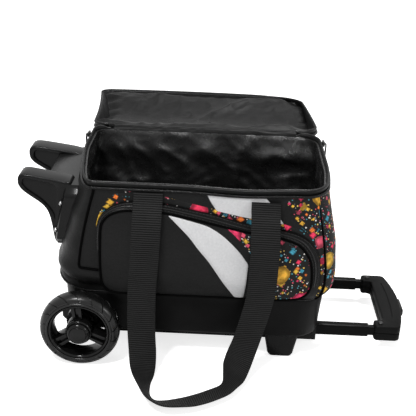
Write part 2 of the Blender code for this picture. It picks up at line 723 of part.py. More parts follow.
def make_rails():
    housing = piece("rail_housing", block((HOUSING_START, -HOUSING_HALF, HOUSING_BOTTOM),
                                          (HOUSING_END, HOUSING_HALF, TRAY_FLOOR - GAP)), "plastic")
    bezel = piece("rail_bezel", block((BEZEL_IN, -HOUSING_HALF, HOUSING_BOTTOM),
                                      (BEZEL_OUT, HOUSING_HALF, TRAY_FLOOR - GAP)), "plastic")
    for name, side in (("front", -1), ("back", 1)):
        y = side * RAIL_SPACING / 2
        w = OUTER_WIDTH / 2 + GAP
        h = OUTER_HEIGHT / 2 + GAP
        bore = block((HOUSING_START - EMBED, y - w, RAIL_HEIGHT - h), (HOUSING_END + EMBED, y + w, RAIL_HEIGHT + h))
        combine(housing, tool("rail_bore_" + name, bore), "DIFFERENCE")
        w = TUBE_WIDTH / 2 + SLIDE
        h = TUBE_HEIGHT / 2 + SLIDE
        mouth = block((BEZEL_IN - EMBED, y - w, RAIL_HEIGHT - h), (BEZEL_OUT + EMBED, y + w, RAIL_HEIGHT + h))
        combine(bezel, tool("rail_mouth_" + name, mouth), "DIFFERENCE")
        piece("outer_tube_" + name, tube(y, OUTER_WIDTH, OUTER_HEIGHT, HOUSING_START, HOUSING_END), "paint")
        pivot = Vector((MIDDLE_END, y, RAIL_HEIGHT))
        middle = tube(y, TUBE_WIDTH, TUBE_HEIGHT, MIDDLE_END - MIDDLE_LENGTH, MIDDLE_END)
        piece("middle_tube_" + name, middle, "paint", pivot)
        inner = piece("inner_tube_" + name, tube(y, INNER_WIDTH, INNER_HEIGHT, INNER_START, INNER_END), "paint")
        pin_x = INNER_START + PIN_FROM_END
        pin_out = y + side * INNER_WIDTH / 2
        hole = rod((pin_x, y, RAIL_HEIGHT), (pin_x, pin_out + side * EMBED, RAIL_HEIGHT),
                   PIN_RADIUS + PIN_SLACK, "Y")
        combine(inner, tool("pin_hole_" + name, hole), "DIFFERENCE")
        pin = rod((pin_x, pin_out - side * PIN_LENGTH, RAIL_HEIGHT), (pin_x, pin_out, RAIL_HEIGHT),
                  PIN_RADIUS, "Y")
        piece("lock_pin_" + name, pin, "steel")
        rod_start = pin_x + ROD_TO_PIN
        push = rod((rod_start, y, RAIL_HEIGHT), (YOKE_IN - GAP, y, RAIL_HEIGHT), ROD_RADIUS, "X")
        piece("push_rod_" + name, push, "steel")


def grip_outline():
    half = RAIL_SPACING / 2 + GRIP_ARM / 2
    inner = RAIL_SPACING / 2 - GRIP_ARM / 2
    points = [(GRIP_START, -half)]
    for i in range(-BOW_STEPS, BOW_STEPS + 1):
        share = i / BOW_STEPS
        points.append((BAR_OUT + GRIP_BOW * (1 - share ** 2), half * share))
    return points + [(GRIP_START, half), (GRIP_START, inner), (BAR_IN, inner),
                     (BAR_IN, -inner), (GRIP_START, -inner)]


def make_grip():
    z_low = RAIL_HEIGHT - GRIP_HEIGHT / 2
    z_high = RAIL_HEIGHT + GRIP_HEIGHT / 2
    yoke_half = RAIL_SPACING / 2 + YOKE_END
    button_half = BUTTON_WIDTH / 2
    slot = BUTTON_HEIGHT / 2 + GAP

    rooms = {
        "yoke_channel": block((CHANNEL_IN, -yoke_half - GAP, RAIL_HEIGHT - slot),
                              (YOKE_OUT + GAP, yoke_half + GAP, RAIL_HEIGHT + slot)),
        "button_mouth": block((YOKE_OUT - EMBED, -button_half - GAP, RAIL_HEIGHT - slot),
                              (BUTTON_OUT + EMBED, button_half + GAP, RAIL_HEIGHT + slot)),
    }
    w = INNER_WIDTH / 2 + GAP
    h = INNER_HEIGHT / 2 + GAP
    for name, side in (("front", -1), ("back", 1)):
        y = side * RAIL_SPACING / 2
        rooms["tube_socket_" + name] = block((GRIP_START - EMBED, y - w, RAIL_HEIGHT - h),
                                             (CHANNEL_IN + EMBED, y + w, RAIL_HEIGHT + h))
        screw_x = GRIP_START + GRIP_SOCKET / 2
        rooms["screw_hole_" + name] = rod((screw_x, y, z_high - SCREW_LENGTH - GAP),
                                          (screw_x, y, z_high + EMBED), SCREW_SHANK + GAP, "Z")
        screw = loft(screw_rings("Z", 1))
        bmesh.ops.translate(screw, verts=screw.verts, vec=(screw_x, y, z_high))
        piece("grip_screw_" + name, screw, "steel")
    cutters = [tool(name, bm) for name, bm in rooms.items()]

    far = RAIL_SPACING
    halves = {
        "grip_top": block((GRIP_START - far, -far, RAIL_HEIGHT + GAP / 2), (BUTTON_OUT + far, far, z_high + far)),
        "grip_bottom": block((GRIP_START - far, -far, z_low - far), (BUTTON_OUT + far, far, RAIL_HEIGHT - GAP / 2)),
    }
    for name, keep in halves.items():
        shell = piece(name, plate(grip_outline(), z_low, z_high), "plastic")
        round_edges(shell, GRIP_ROUND)
        for cutter in cutters:
            combine(shell, cutter, "DIFFERENCE")
        combine(shell, tool(name + "_half", keep), "INTERSECT")

    outline = [
        (YOKE_IN, -yoke_half), (YOKE_OUT, -yoke_half), (YOKE_OUT, -button_half), (BUTTON_OUT, -button_half),
        (BUTTON_OUT, button_half), (YOKE_OUT, button_half), (YOKE_OUT, yoke_half), (YOKE_IN, yoke_half),
    ]
    button_z = (RAIL_HEIGHT - BUTTON_HEIGHT / 2, RAIL_HEIGHT + BUTTON_HEIGHT / 2)
    piece("release_button", plate(outline, *button_z), "plastic", Vector((BUTTON_OUT, 0, RAIL_HEIGHT)))
    piece("button_spring", coil(CHANNEL_IN + GAP, YOKE_IN - GAP), "steel")


def coil(x0, x1):
    """Return spring along X: one wire swept round its helix."""
    wire_sides = 4
    per_turn = 8
    steps = SPRING_TURNS * per_turn
    rings = []
    for i in range(steps + 1):
        a = 2 * math.pi * i / per_turn
        along = x0 + SPRING_WIRE + (x1 - x0 - 2 * SPRING_WIRE) * i / steps
        out = Vector((0, math.cos(a), math.sin(a)))
        centre = Vector((along, 0, RAIL_HEIGHT)) + out * SPRING_RADIUS
        ring = []
        for k in range(wire_sides):
            b = 2 * math.pi * k / wire_sides
            ring.append(centre + (out * math.cos(b) + Vector((math.sin(b), 0, 0))) * SPRING_WIRE)
        rings.append(ring)
    return loft(rings)


# Front pocket with its zip

def pocket_corners():
    low = BASE_TOP + POCKET_FOOT
    return [
        (-POCKET_LEFT, low), (POCKET_RIGHT, low), (POCKET_RIGHT, BASE_TOP + POCKET_TOP_RIGHT),
        (-POCKET_SLOPE_FROM, BASE_TOP + POCKET_TOP), (-POCKET_LEFT, BASE_TOP + POCKET_TOP),
    ]


def make_pocket():
    corners = pocket_corners()
    outline = rounded(corners, POCKET_RADII)
    centre = Vector((sum(x for x, z in outline), sum(z for x, z in outline))) / len(outline)
    seat = FRONT - GAP
    rings = []
    for share, proud in ((1.0, 0.0), (1.0, POCKET_EDGE), (0.86, 0.8), (0.62, 0.95), (0.3, 1.0)):
        swell = proud if share == 1.0 else POCKET_EDGE + (POCKET_CROWN - POCKET_EDGE) * proud
        rings.append([Vector((centre.x + (x - centre.x) * share, seat - swell,
                              centre.y + (z - centre.y) * share)) for x, z in outline])
    piece("pocket", loft(rings), "cloth")

    steps = CORNER_STEPS + 1
    run = outline[2 * steps - 2:] + outline[:2]
    ring_out = []
    for i, (x, z) in enumerate(run):
        a = Vector(run[max(i - 1, 0)])
        b = Vector(run[min(i + 1, len(run) - 1)])
        along = (b - a).normalized()
        out = Vector((along.y, -along.x))
        near = Vector((x, z)) + out * ZIP_CLEAR
        far = near + out * ZIP_BAND
        face = seat - ZIP_BAND_HEIGHT
        ring_out.append([Vector((near.x, seat, near.y)), Vector((near.x, face, near.y)),
                         Vector((far.x, face, far.y)), Vector((far.x, seat, far.y))])
    piece("pocket_zip", loft(ring_out), "tape")

    slope = Vector(corners[3]) - Vector(corners[2])
    along = slope.normalized()
    out = Vector((along.y, -along.x))
    spot = Vector(corners[2]) + along * POCKET_SLIDER_IN + out * (ZIP_CLEAR + ZIP_BAND / 2)
    face = seat - ZIP_BAND_HEIGHT - GAP
    body = []
    for u, v in ((-1, -1), (1, -1), (1, 1), (-1, 1)):
        body.append(tuple(spot + along * u * SLIDER_LENGTH / 2 + out * v * SLIDER_WIDTH / 2))
    pivot = Vector((spot.x, face, spot.y))
    piece("pocket_slider", prism(body, face, face - SLIDER_HEIGHT), "steel", pivot)


# Zip sliders on the rim, each with its pull tab

def make_rim_sliders():
    low = WALL_TOP + GAP + BINDING - RIM_SLIDER_HEIGHT / 2
    high = low + RIM_SLIDER_HEIGHT
    for name, edge, side in (("left", LEFT_END, -1), ("right", RIGHT_END, 1)):
        near = edge + side * 2 * GAP
        far = near + side * SLIDER_HEIGHT
        x0, x1 = sorted((near, far))
        y0, y1 = SLIDER_Y - SLIDER_LENGTH / 2, SLIDER_Y + SLIDER_LENGTH / 2
        pivot = Vector(((near + far) / 2, SLIDER_Y, (low + high) / 2))
        piece("zip_slider_" + name, block((x0, y0, low), (x1, y1, high)), "steel", pivot)
        t0, t1 = sorted((far + side * GAP, far + side * (GAP + TAB_DEPTH)))
        tab_top = (low + high) / 2
        tab = block((t0, SLIDER_Y - TAB_WIDTH / 2, tab_top - TAB_LENGTH), (t1, SLIDER_Y + TAB_WIDTH / 2, tab_top))
        piece("zip_pull_" + name, tab, "plastic", Vector(((t0 + t1) / 2, SLIDER_Y, tab_top)))


# Carry straps: a leg at each sewn end and a loop that lies on the floor

def strap_route(top, standoff):
    """Points (x, distance off the wall, height, degrees that the webbing has turned)."""
    mid = top / 2
    return [
        (-STRAP_LEFT, STRAP_SEWN, top, 0),
        (-STRAP_LEFT, standoff * 0.55, top - 0.014, 0),
        (-STRAP_LEFT, standoff * 0.92, top - 0.034, 0),
        (-STRAP_LEFT - 0.002, standoff, mid, 2),
        (-STRAP_LEFT - 0.002, standoff + 0.009, 0.075, 6),
        (-STRAP_LEFT + 0.003, standoff + 0.028, 0.037, 25),
        (-STRAP_LEFT + 0.014, STRAP_REACH - 0.022, 0.017, 60),
        (-STRAP_LEFT + 0.034, STRAP_REACH - 0.004, 0.006, 84),
        (-0.006, STRAP_REACH, STRAP_LIE, 90),
        (STRAP_RIGHT - 0.062, STRAP_REACH - 0.007, 0.006, 96),
        (STRAP_RIGHT - 0.040, STRAP_REACH - 0.026, 0.018, 120),
        (STRAP_RIGHT - 0.028, standoff + 0.026, 0.042, 155),
        (STRAP_RIGHT - 0.021, standoff + 0.009, 0.080, 174),
        (STRAP_RIGHT - 0.011, standoff, mid, 178),
        (STRAP_RIGHT, standoff * 0.92, top - 0.034, 180),
        (STRAP_RIGHT, standoff * 0.55, top - 0.014, 180),
        (STRAP_RIGHT, STRAP_SEWN, top, 180),
    ]


def spline(points, samples):
    """Smooth curve through the points, with a few samples in each span."""
    ends = [points[0] * 2 - points[1]] + points + [points[-1] * 2 - points[-2]]
    out = []
    for i in range(1, len(ends) - 2):
        a, b, c, d = ends[i - 1:i + 3]
        for k in range(samples):
            t = k / samples
            out.append(0.5 * (2 * b + (c - a) * t + (2 * a - 5 * b + 4 * c - d) * t ** 2
                              + (3 * b - a - 3 * c + d) * t ** 3))
    return out + [points[-1]]


def make_strap(name, side, top, standoff):
    route = strap_route(top, standoff)
    face = side * BODY_DEPTH / 2
    line = spline([Vector((x, face + side * off, z)) for x, off, z, turn in route], STRAP_SAMPLES)
    turns = spline([Vector((turn, 0, 0)) for x, off, z, turn in route], STRAP_SAMPLES)
    rings = []
    for i, centre in enumerate(line):
        along = (line[min(i + 1, len(line) - 1)] - line[max(i - 1, 0)]).normalized()
        a = math.radians(turns[i].x)
        across = Vector((math.cos(a), -side * math.sin(a), 0))
        across = (across - along * across.dot(along)).normalized()
        up = along.cross(across) * STRAP_THICK / 2
        half = across * STRAP_WIDTH / 2
        rings.append([centre - half - up, centre + half - up, centre + half + up, centre - half + up])
    piece(name, loft(rings), "web", Vector((0, face + side * STRAP_SEWN, top)))


def centre_on_floor():
    """Move the frame empty so that the origin is under the middle of the bounding box."""
    bpy.context.view_layer.update()
    depsgraph = bpy.context.evaluated_depsgraph_get()
    low = Vector((math.inf,) * 3)
    high = -low
    for obj in made:
        seen = obj.evaluated_get(depsgraph)
        mesh = seen.to_mesh()
        for vertex in mesh.vertices:
            point = seen.matrix_world @ vertex.co
            low = Vector(map(min, low, point))
            high = Vector(map(max, high, point))
        seen.to_mesh_clear()
    frame_empty.location = (-(low.x + high.x) / 2, -(low.y + high.y) / 2, -low.z)


for old in list(bpy.data.objects):
    bpy.data.objects.remove(old, do_unlink=True)

frame_empty = bpy.data.objects.new("bag_frame", None)
bpy.context.collection.objects.link(frame_empty)

rim_path, fold_ends = make_body()
make_lid(rim_path, fold_ends)
make_base()
make_feet()
make_wheel("front", -1)
make_wheel("back", 1)
make_stand()
make_rails()
make_grip()
make_pocket()
make_rim_sliders()
make_strap("strap_front", -1, STRAP_TOP, STRAP_STANDOFF)
make_strap("strap_back", 1, STRAP_BACK_TOP, STRAP_BACK_STANDOFF)
centre_on_floor()
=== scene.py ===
"""Looks of the wheeled ball bag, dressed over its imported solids.

Metres. Shapes are laid out from the middle of the bag on the floor, as in the part's source,
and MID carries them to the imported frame. -Y is the pocket side, +X the handle end.
"""
import json
import math

import bmesh
import bpy
from mathutils import Matrix, Vector, noise

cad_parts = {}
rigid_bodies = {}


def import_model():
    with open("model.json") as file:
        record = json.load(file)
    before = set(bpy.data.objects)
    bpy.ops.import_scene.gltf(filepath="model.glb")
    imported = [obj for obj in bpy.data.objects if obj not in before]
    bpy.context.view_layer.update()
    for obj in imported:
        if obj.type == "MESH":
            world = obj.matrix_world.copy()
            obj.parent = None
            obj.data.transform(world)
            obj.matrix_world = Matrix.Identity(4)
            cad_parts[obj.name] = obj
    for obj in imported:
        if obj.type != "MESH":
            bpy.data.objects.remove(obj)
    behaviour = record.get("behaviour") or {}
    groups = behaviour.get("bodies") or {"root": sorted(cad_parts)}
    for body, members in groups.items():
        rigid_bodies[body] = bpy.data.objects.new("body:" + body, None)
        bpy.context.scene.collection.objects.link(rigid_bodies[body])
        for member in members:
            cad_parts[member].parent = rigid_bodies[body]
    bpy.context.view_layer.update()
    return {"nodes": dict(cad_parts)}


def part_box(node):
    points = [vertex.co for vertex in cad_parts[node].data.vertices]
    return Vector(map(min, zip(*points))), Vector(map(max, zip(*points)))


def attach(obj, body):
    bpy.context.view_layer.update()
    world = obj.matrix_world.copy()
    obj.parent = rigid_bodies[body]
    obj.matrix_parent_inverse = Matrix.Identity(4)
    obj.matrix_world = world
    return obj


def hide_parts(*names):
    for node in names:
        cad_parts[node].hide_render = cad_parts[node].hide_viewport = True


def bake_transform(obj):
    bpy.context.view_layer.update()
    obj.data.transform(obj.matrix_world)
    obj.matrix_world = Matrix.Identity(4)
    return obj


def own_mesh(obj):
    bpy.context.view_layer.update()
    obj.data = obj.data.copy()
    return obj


for leftover in list(bpy.data.objects):
    bpy.data.objects.remove(leftover)
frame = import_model()

rim_low, rim_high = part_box("rim_binding")
MID = Vector(((rim_low.x + rim_high.x) / 2, (rim_low.y + rim_high.y) / 2, 0))
UP = Vector((0, 0, 1))
FRONT = Vector((0, -1, 0))

# Fabric body
HALF_LENGTH = 0.175
HALF_DEPTH = 0.114
WALL_TOP = 0.258
BASE_TOP = 0.100
BASE_LOW = 0.036
BASE_TAPER = 0.004
LEFT_LEAN = 0.028
LEFT_BULGE = 0.005
RIGHT_BULGE = 0.0135
RIGHT_BULGE_POWER = 0.45
RIGHT_LEAN = 0.003
FRONT_LEAN = 0.007
FRONT_LEAN_FROM = 0.08
LEFT_CORNER = 0.032
BACK_CORNER = 0.020
RIGHT_CORNER = 0.036
LEFT_WRAP = 0.004
LEFT_SWEEP_LOW = 0.048
LEFT_SWEEP_TOP = 0.070
END_LEAN = 0.012
SEAM_TURN = 30.0

# Stations round the outline
FLAT_STEPS = 66
LONG_TURN_STEPS = 11
END_TURN_STEPS = 7
END_STEPS = 34
LEFT_TURN_STEPS = 16
WRAP_STEPS = 1

# Lid, in its shut place until open_lid swings it back
HINGE_Y = 0.118
HINGE_Z = 0.2646
LID_OPEN = 183.0
LID_EDGE = 0.2649
LID_DEPTH = 0.036
LID_TOP = LID_EDGE + LID_DEPTH


# Small sums

def clamp(value, low=0.0, high=1.0):
    return max(low, min(high, value))


def smooth(value):
    value = clamp(value)
    return value * value * (3 - 2 * value)


def mix(a, b, t):
    return a + (b - a) * t


def hump(off, width):
    """Bell curve of height 1, from the distance off its middle."""
    return math.exp(-(off / width) ** 2)


def turns(count):
    """Angles of even steps round a circle."""
    return [2 * math.pi * k / count for k in range(count)]


def ripple(point, scale, seed=0.0):
    """Smooth noise from -1 to 1 at a point."""
    return noise.noise(Vector(point) * scale + Vector((seed, 1.7 * seed, 2.3 * seed)))


def crease(point, scale, seed=0.0):
    """Noise with sharp ridges, from 0 to 1, as in folded cloth."""
    return 1 - abs(ripple(point, scale, seed))


def lengths(points, closed=False):
    """Distance run at each point of a line, and at its return to the start where closed."""
    out = [0.0]
    for a, b in zip(points, points[1:] + points[:1] if closed else points[1:]):
        out.append(out[-1] + (b - a).length)
    return out


def walk(run, where, j):
    """Step on from span j to the one that holds a distance, and give the share of the way along it."""
    while j < len(run) - 2 and run[j + 1] < where:
        j += 1
    return j, clamp((where - run[j]) / max(run[j + 1] - run[j], 1e-9))


def resample(line, count, closed=False):
    """count points at even distances along a line; a closed line leaves out its repeated end."""
    run = lengths(line)
    out = []
    j = 0
    for i in range(count):
        j, share = walk(run, run[-1] * i / (count if closed else count - 1), j)
        out.append(line[j].lerp(line[j + 1], share))
    return out


def evenly(points, step):
    return resample(points, int(lengths(points)[-1] / step))


def spline(a, b, c, d, t):
    """Smooth curve from b to c, with a before and d after them."""
    return 0.5 * (2 * b + (c - a) * t + (2 * a - 5 * b + 4 * c - d) * t ** 2
                  + (3 * b - a - 3 * c + d) * t ** 3)


def through(points, count, closed=False, samples=14):
    """Evenly spaced points on a smooth curve through the given ones, each (x, z) on a plane of y = 0."""
    points = [Vector((x, 0, z)) for x, z in points]
    if closed:
        ends = [points[-1]] + points + points[:2]
    else:
        ends = [points[0] * 2 - points[1]] + points + [points[-1] * 2 - points[-2]]
    fine = []
    for stops in zip(ends, ends[1:], ends[2:], ends[3:]):
        fine += [spline(*stops, k / samples) for k in range(samples)]
    fine.append(fine[0].copy() if closed else points[-1])
    return resample(fine, count, closed)


# Meshes

def to_object(name, data):
    obj = bpy.data.objects.new(name, data)
    bpy.context.scene.collection.objects.link(obj)
    return obj


def grid(name, rows, wrap_row=False, wrap_col=False, caps=False):
    """Mesh through rows of points, with cloth coordinates in metres."""
    n, m = len(rows), len(rows[0])
    across = lengths(rows[n // 2], wrap_col)
    down = lengths([row[0] for row in rows], wrap_row)
    faces = []
    cloth = []
    for i in range(n if wrap_row else n - 1):
        for j in range(m if wrap_col else m - 1):
            corners = ((i, j), (i, j + 1), (i + 1, j + 1), (i + 1, j))
            faces.append([r % n * m + c % m for r, c in corners])
            cloth += [(across[c], down[r]) for r, c in corners]
    if caps:
        faces.append(list(range(m - 1, -1, -1)))
        faces.append(list(range((n - 1) * m, n * m)))
    mesh = bpy.data.meshes.new(name)
    mesh.from_pydata([p + MID for row in rows for p in row], [], faces)
    layer = mesh.uv_layers.new(name="UVMap")
    for loop, place in enumerate(cloth):
        layer.data[loop].uv = place
    return to_object(name, mesh)


def lay_flat(obj, place):
    """Lay a piece's cloth coordinates by where its points are."""
    layer = obj.data.uv_layers[0].data
    for loop in obj.data.loops:
        layer[loop.index].uv = place(obj.data.vertices[loop.vertex_index].co)


def face_out(obj, weld=False):
    """Turn the faces of a closed mesh outwards, with points that meet joined first where asked."""
    bm = bmesh.new()
    bm.from_mesh(obj.data)
    if weld:
        bmesh.ops.remove_doubles(bm, verts=bm.verts, dist=0.00001)
    bmesh.ops.recalc_face_normals(bm, faces=bm.faces)
    bm.to_mesh(obj.data)
    bm.free()
    return obj


def face_front(obj):
    """Turn an open patch so that its faces look towards the pocket side."""
    total = Vector((0, 0, 0))
    for face in obj.data.polygons:
        total += face.normal * face.area
    if total.y > 0:
        obj.data.flip_normals()


def from_bmesh(name, bm):
    bmesh.ops.recalc_face_normals(bm, faces=bm.faces)
    for vert in bm.verts:
        vert.co += MID
    mesh = bpy.data.meshes.new(name)
    bm.to_mesh(mesh)
    bm.free()
    return to_object(name, mesh)


def skin(bm, low, high):
    """Faces between two rings of points."""
    n = len(low)
    for i in range(n):
        bm.faces.new((low[i], low[(i + 1) % n], high[(i + 1) % n], high[i]))


def prism(name, line, way):
    """Solid between an outline and the same outline moved along a way."""
    bm = bmesh.new()
    low = [bm.verts.new(p) for p in line]
    high = [bm.verts.new(p + way) for p in line]
    bm.faces.new(low)
    bm.faces.new(high)
    skin(bm, low, high)
    return from_bmesh(name, bm)


def block(name, low, high):
    bm = bmesh.new()
    bmesh.ops.create_cube(bm, size=1.0)
    size = high - low
    for vert in bm.verts:
        vert.co = Vector((vert.co.x * size.x, vert.co.y * size.y, vert.co.z * size.z)) + (low + high) / 2
    return from_bmesh(name, bm)


def modify(obj, kind, **settings):
    """Run a modifier and keep its result as the mesh."""
    step = obj.modifiers.new("step", kind)
    for key, value in settings.items():
        setattr(step, key, value)
    bpy.context.view_layer.update()
    graph = bpy.context.evaluated_depsgraph_get()
    mesh = bpy.data.meshes.new_from_object(obj.evaluated_get(graph))
    obj.modifiers.clear()
    old = obj.data
    obj.data = mesh
    bpy.data.meshes.remove(old)
    return obj


def thicken(obj, thickness, offset=-1.0):
    return modify(obj, "SOLIDIFY", thickness=thickness, offset=offset, use_even_offset=False)


def soften(obj, width, segments=3, angle=30.0):
    return modify(obj, "BEVEL", width=width, segments=segments, limit_method="ANGLE",
                  angle_limit=math.radians(angle), harden_normals=False)


def cut(obj, cutter):
    modify(obj, "BOOLEAN", object=cutter, operation="DIFFERENCE", solver="EXACT")
    bpy.data.objects.remove(cutter)
    return obj


def merge(name, parts):
    """Join several meshes into one piece."""
    bm = bmesh.new()
    for part in parts:
        bm.from_mesh(part.data)
    mesh = bpy.data.meshes.new(name)
    bm.to_mesh(mesh)
    bm.free()
    for part in parts:
        bpy.data.objects.remove(part)
    return to_object(name, mesh)


def ringed(name, rows):
    """Closed solid through rings of points."""
    return face_out(grid(name, rows, wrap_col=True, caps=True))


def tube(name, path, radius, sides=8, closed=False):
    """Round cord along a path; radius is a length or a function of the point's number."""
    size = radius if callable(radius) else (lambda i: radius)
    n = len(path)
    rows = []
    side = None
    for i, point in enumerate(path):
        ahead = path[(i + 1) % n] if closed else path[min(i + 1, n - 1)]
        behind = path[i - 1] if closed else path[max(i - 1, 0)]
        along = (ahead - behind).normalized()
        if side is None:
            side = along.cross(UP if abs(along.z) < 0.9 else Vector((1, 0, 0)))
        side = (side - along * side.dot(along)).normalized()
        top = along.cross(side)
        rows.append([point + (side * math.cos(a) + top * math.sin(a)) * size(i) for a in turns(sides)])
    return face_out(grid(name, rows, wrap_row=closed, wrap_col=True, caps=not closed))


STITCH_LENGTH = 0.0030
STITCH_GAP = 0.0016
STITCH_THICK = 0.00042
STITCH_LIFTS = (0.1, 0.75, 0.1)
STITCH_SIDES = 5


def stitch_row(name, path):
    """Thread along a path on the pocket side, one small raised stitch after another."""
    run = lengths(path)
    bm = bmesh.new()
    at = STITCH_GAP
    j = 0
    while at + STITCH_LENGTH < run[-1]:
        spots = []
        for where in (at, at + STITCH_LENGTH / 2, at + STITCH_LENGTH):
            j, share = walk(run, where, j)
            spots.append(path[j].lerp(path[j + 1], share))
        side = (spots[2] - spots[0]).normalized().cross(FRONT).normalized() * STITCH_THICK
        rings = []
        for spot, lift in zip(spots, STITCH_LIFTS):
            ring = []
            for a in turns(STITCH_SIDES):
                raised = spot + FRONT * STITCH_THICK * (lift + math.sin(a))
                ring.append(bm.verts.new(raised + side * math.cos(a)))
            rings.append(ring)
        skin(bm, rings[0], rings[1])
        skin(bm, rings[1], rings[2])
        bm.faces.new(rings[0][::-1])
        bm.faces.new(rings[2])
        at += STITCH_LENGTH + STITCH_GAP
    return from_bmesh(name, bm)


def dress(obj, material, body, slot, *nodes, sharp=38.0):
    """Give a piece its material and body, and hide the solids it stands for. The slot is not used."""
    obj.data.materials.clear()
    obj.data.materials.append(material)
    obj.data.shade_smooth()
    obj.data.set_sharp_from_angle(angle=math.radians(sharp))
    if body:
        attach(obj, body)
    if nodes:
        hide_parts(*nodes)
    return obj


# Shader nodes

def node(tree, kind, inputs=None, **settings):
    made = tree.nodes.new("ShaderNode" + kind)
    for key, value in settings.items():
        setattr(made, key, value)
    for key, value in (inputs or {}).items():
        if isinstance(value, bpy.types.NodeSocket):
            tree.links.new(value, made.inputs[key])
        else:
            made.inputs[key].default_value = value
    return made


def reckon(tree, operation, a, b):
    return node(tree, "Math", {0: a, 1: b}, operation=operation).outputs[0]


def remap(tree, value, low, high, start=0.0, end=1.0):
    """Bring a value from the range start to end over to low to high."""
    return node(tree, "MapRange", {"Value": value, "From Min": start, "From Max": end,
                                   "To Min": low, "To Max": high}).outputs["Result"]


def blend(tree, share, a, b, way="MIX"):
    """Colour between two others."""
    return node(tree, "Mix", {"Factor": share, "A": a, "B": b}, data_type="RGBA",
                blend_type=way).outputs["Result"]


def cloud(tree, place, scale, detail=4.0, roughness=0.55):
    return node(tree, "TexNoise", {"Vector": place, "Scale": scale, "Detail": detail,
                                   "Roughness": roughness}).outputs["Fac"]


def blotch(tree, place, scale, low, high):
    """Noise turned into a colour between two others."""
    ramp = node(tree, "ValToRGB", {"Fac": cloud(tree, place, scale, 3.0, 0.5)})
    for stop, position, colour in zip(ramp.color_ramp.elements, (0.3, 0.7), (low, high)):
        stop.position = position
        stop.color = colour
    return ramp.outputs["Color"]


def bands(tree, place, period, direction, **more):
    """Waves of a period in metres."""
    return node(tree, "TexWave", {"Vector": place, "Scale": 2 * math.pi / 20 / period, **more},
                bands_direction=direction).outputs["Fac"]


def thread_height(tree, place, period):
    """Over and under of a plain weave, as a height from 0 to 1."""
    return reckon(tree, "MULTIPLY", bands(tree, place, period, "X"), bands(tree, place, period, "Y"))


def grey(value, tint=(1.0, 1.0, 1.0)):
    return tuple(value * t for t in tint) + (1.0,)


def start_material(name, **shader):
    mat = bpy.data.materials.new(name)
    mat.use_nodes = True
    tree = mat.node_tree
    bsdf = tree.nodes["Principled BSDF"]
    for key, value in shader.items():
        bsdf.inputs[key.replace("_", " ")].default_value = value
    return mat, tree, bsdf


def place_of(tree, by_uv=True):
    return node(tree, "TexCoord").outputs["UV" if by_uv else "Object"]


def end_material(tree, bsdf, colour, haze, low, high, *heights):
    """Link colour, roughness from low to high, and bumps: a height, its metres and its strength each."""
    tree.links.new(colour, bsdf.inputs["Base Color"])
    tree.links.new(remap(tree, haze, low, high), bsdf.inputs["Roughness"])
    normal = None
    for height, distance, strength in heights:
        inputs = {"Height": height, "Distance": distance, "Strength": strength}
        if normal is not None:
            inputs["Normal"] = normal
        normal = node(tree, "Bump", inputs).outputs["Normal"]
    tree.links.new(normal, bsdf.inputs["Normal"])


# Materials
TONE_SCALE = 38.0
FLECK_SCALE = 330.0
FLECK_SHARE = 0.7
HAZE_SCALE = 60.0
PUCKER_SCALE = 70.0
PLASTIC_TONE_SCALE = 24.0
PLASTIC_HAZE_SCALE = 45.0
WEB_TONE_SCALE = 45.0
WEB_HAZE_SCALE = 80.0
WEB_PERIOD = 0.0009
RIB_PERIOD = 0.0030
TAPE_TONE_SCALE = 60.0
TAPE_HAZE_SCALE = 90.0
TAPE_PERIOD = 0.0010


def cloth_material(name, dark, pale, period, roughness, specular, by_uv=True, metallic=0.0, weave=0.00012,
                   pucker=0.0004):
    mat, tree, bsdf = start_material(name, Metallic=metallic, Specular_IOR_Level=specular)
    place = place_of(tree, by_uv)
    threads = thread_height(tree, place, period)
    tone = blend(tree, FLECK_SHARE, blotch(tree, place, TONE_SCALE, dark, pale),
                 blotch(tree, place, FLECK_SCALE, dark, pale))
    end_material(tree, bsdf, blend(tree, threads, tone, pale), cloud(tree, place, HAZE_SCALE),
                 roughness - 0.07, roughness + 0.07,
                 (cloud(tree, place, PUCKER_SCALE), pucker, 0.5), (threads, weave, 0.7))
    return mat


def plastic_material(name, dark, pale, roughness, specular, grain=900.0, depth=0.00006, metallic=0.0):
    mat, tree, bsdf = start_material(name, Metallic=metallic, Specular_IOR_Level=specular)
    place = place_of(tree, False)
    tone = blotch(tree, place, PLASTIC_TONE_SCALE, dark, pale)
    end_material(tree, bsdf, tone, cloud(tree, place, PLASTIC_HAZE_SCALE),
                 roughness - 0.06, roughness + 0.06, (cloud(tree, place, grain), depth, 0.5))
    return mat


def webbing_material():
    """Ribs across the strap with a finer thread along it."""
    mat, tree, bsdf = start_material("webbing", Specular_IOR_Level=0.04)
    place = place_of(tree)
    rib = bands(tree, place, RIB_PERIOD, "Y", Distortion=0.4, Detail=1.0)
    tone = blotch(tree, place, WEB_TONE_SCALE, grey(0.002), grey(0.006))
    end_material(tree, bsdf, blend(tree, rib, tone, grey(0.027)), cloud(tree, place, WEB_HAZE_SCALE),
                 0.55, 0.72, (rib, 0.0004, 0.7), (thread_height(tree, place, WEB_PERIOD), 0.00015, 0.6))
    return mat


def tape_material():
    """Zip tape with a slanting weave, a little shiny."""
    mat, tree, bsdf = start_material("zip_tape", Specular_IOR_Level=0.12)
    place = place_of(tree)
    tone = blotch(tree, place, TAPE_TONE_SCALE, grey(0.0025), grey(0.0050))
    end_material(tree, bsdf, tone, cloud(tree, place, TAPE_HAZE_SCALE), 0.28, 0.40,
                 (bands(tree, place, TAPE_PERIOD, "DIAGONAL"), 0.0002, 0.6))
    return mat


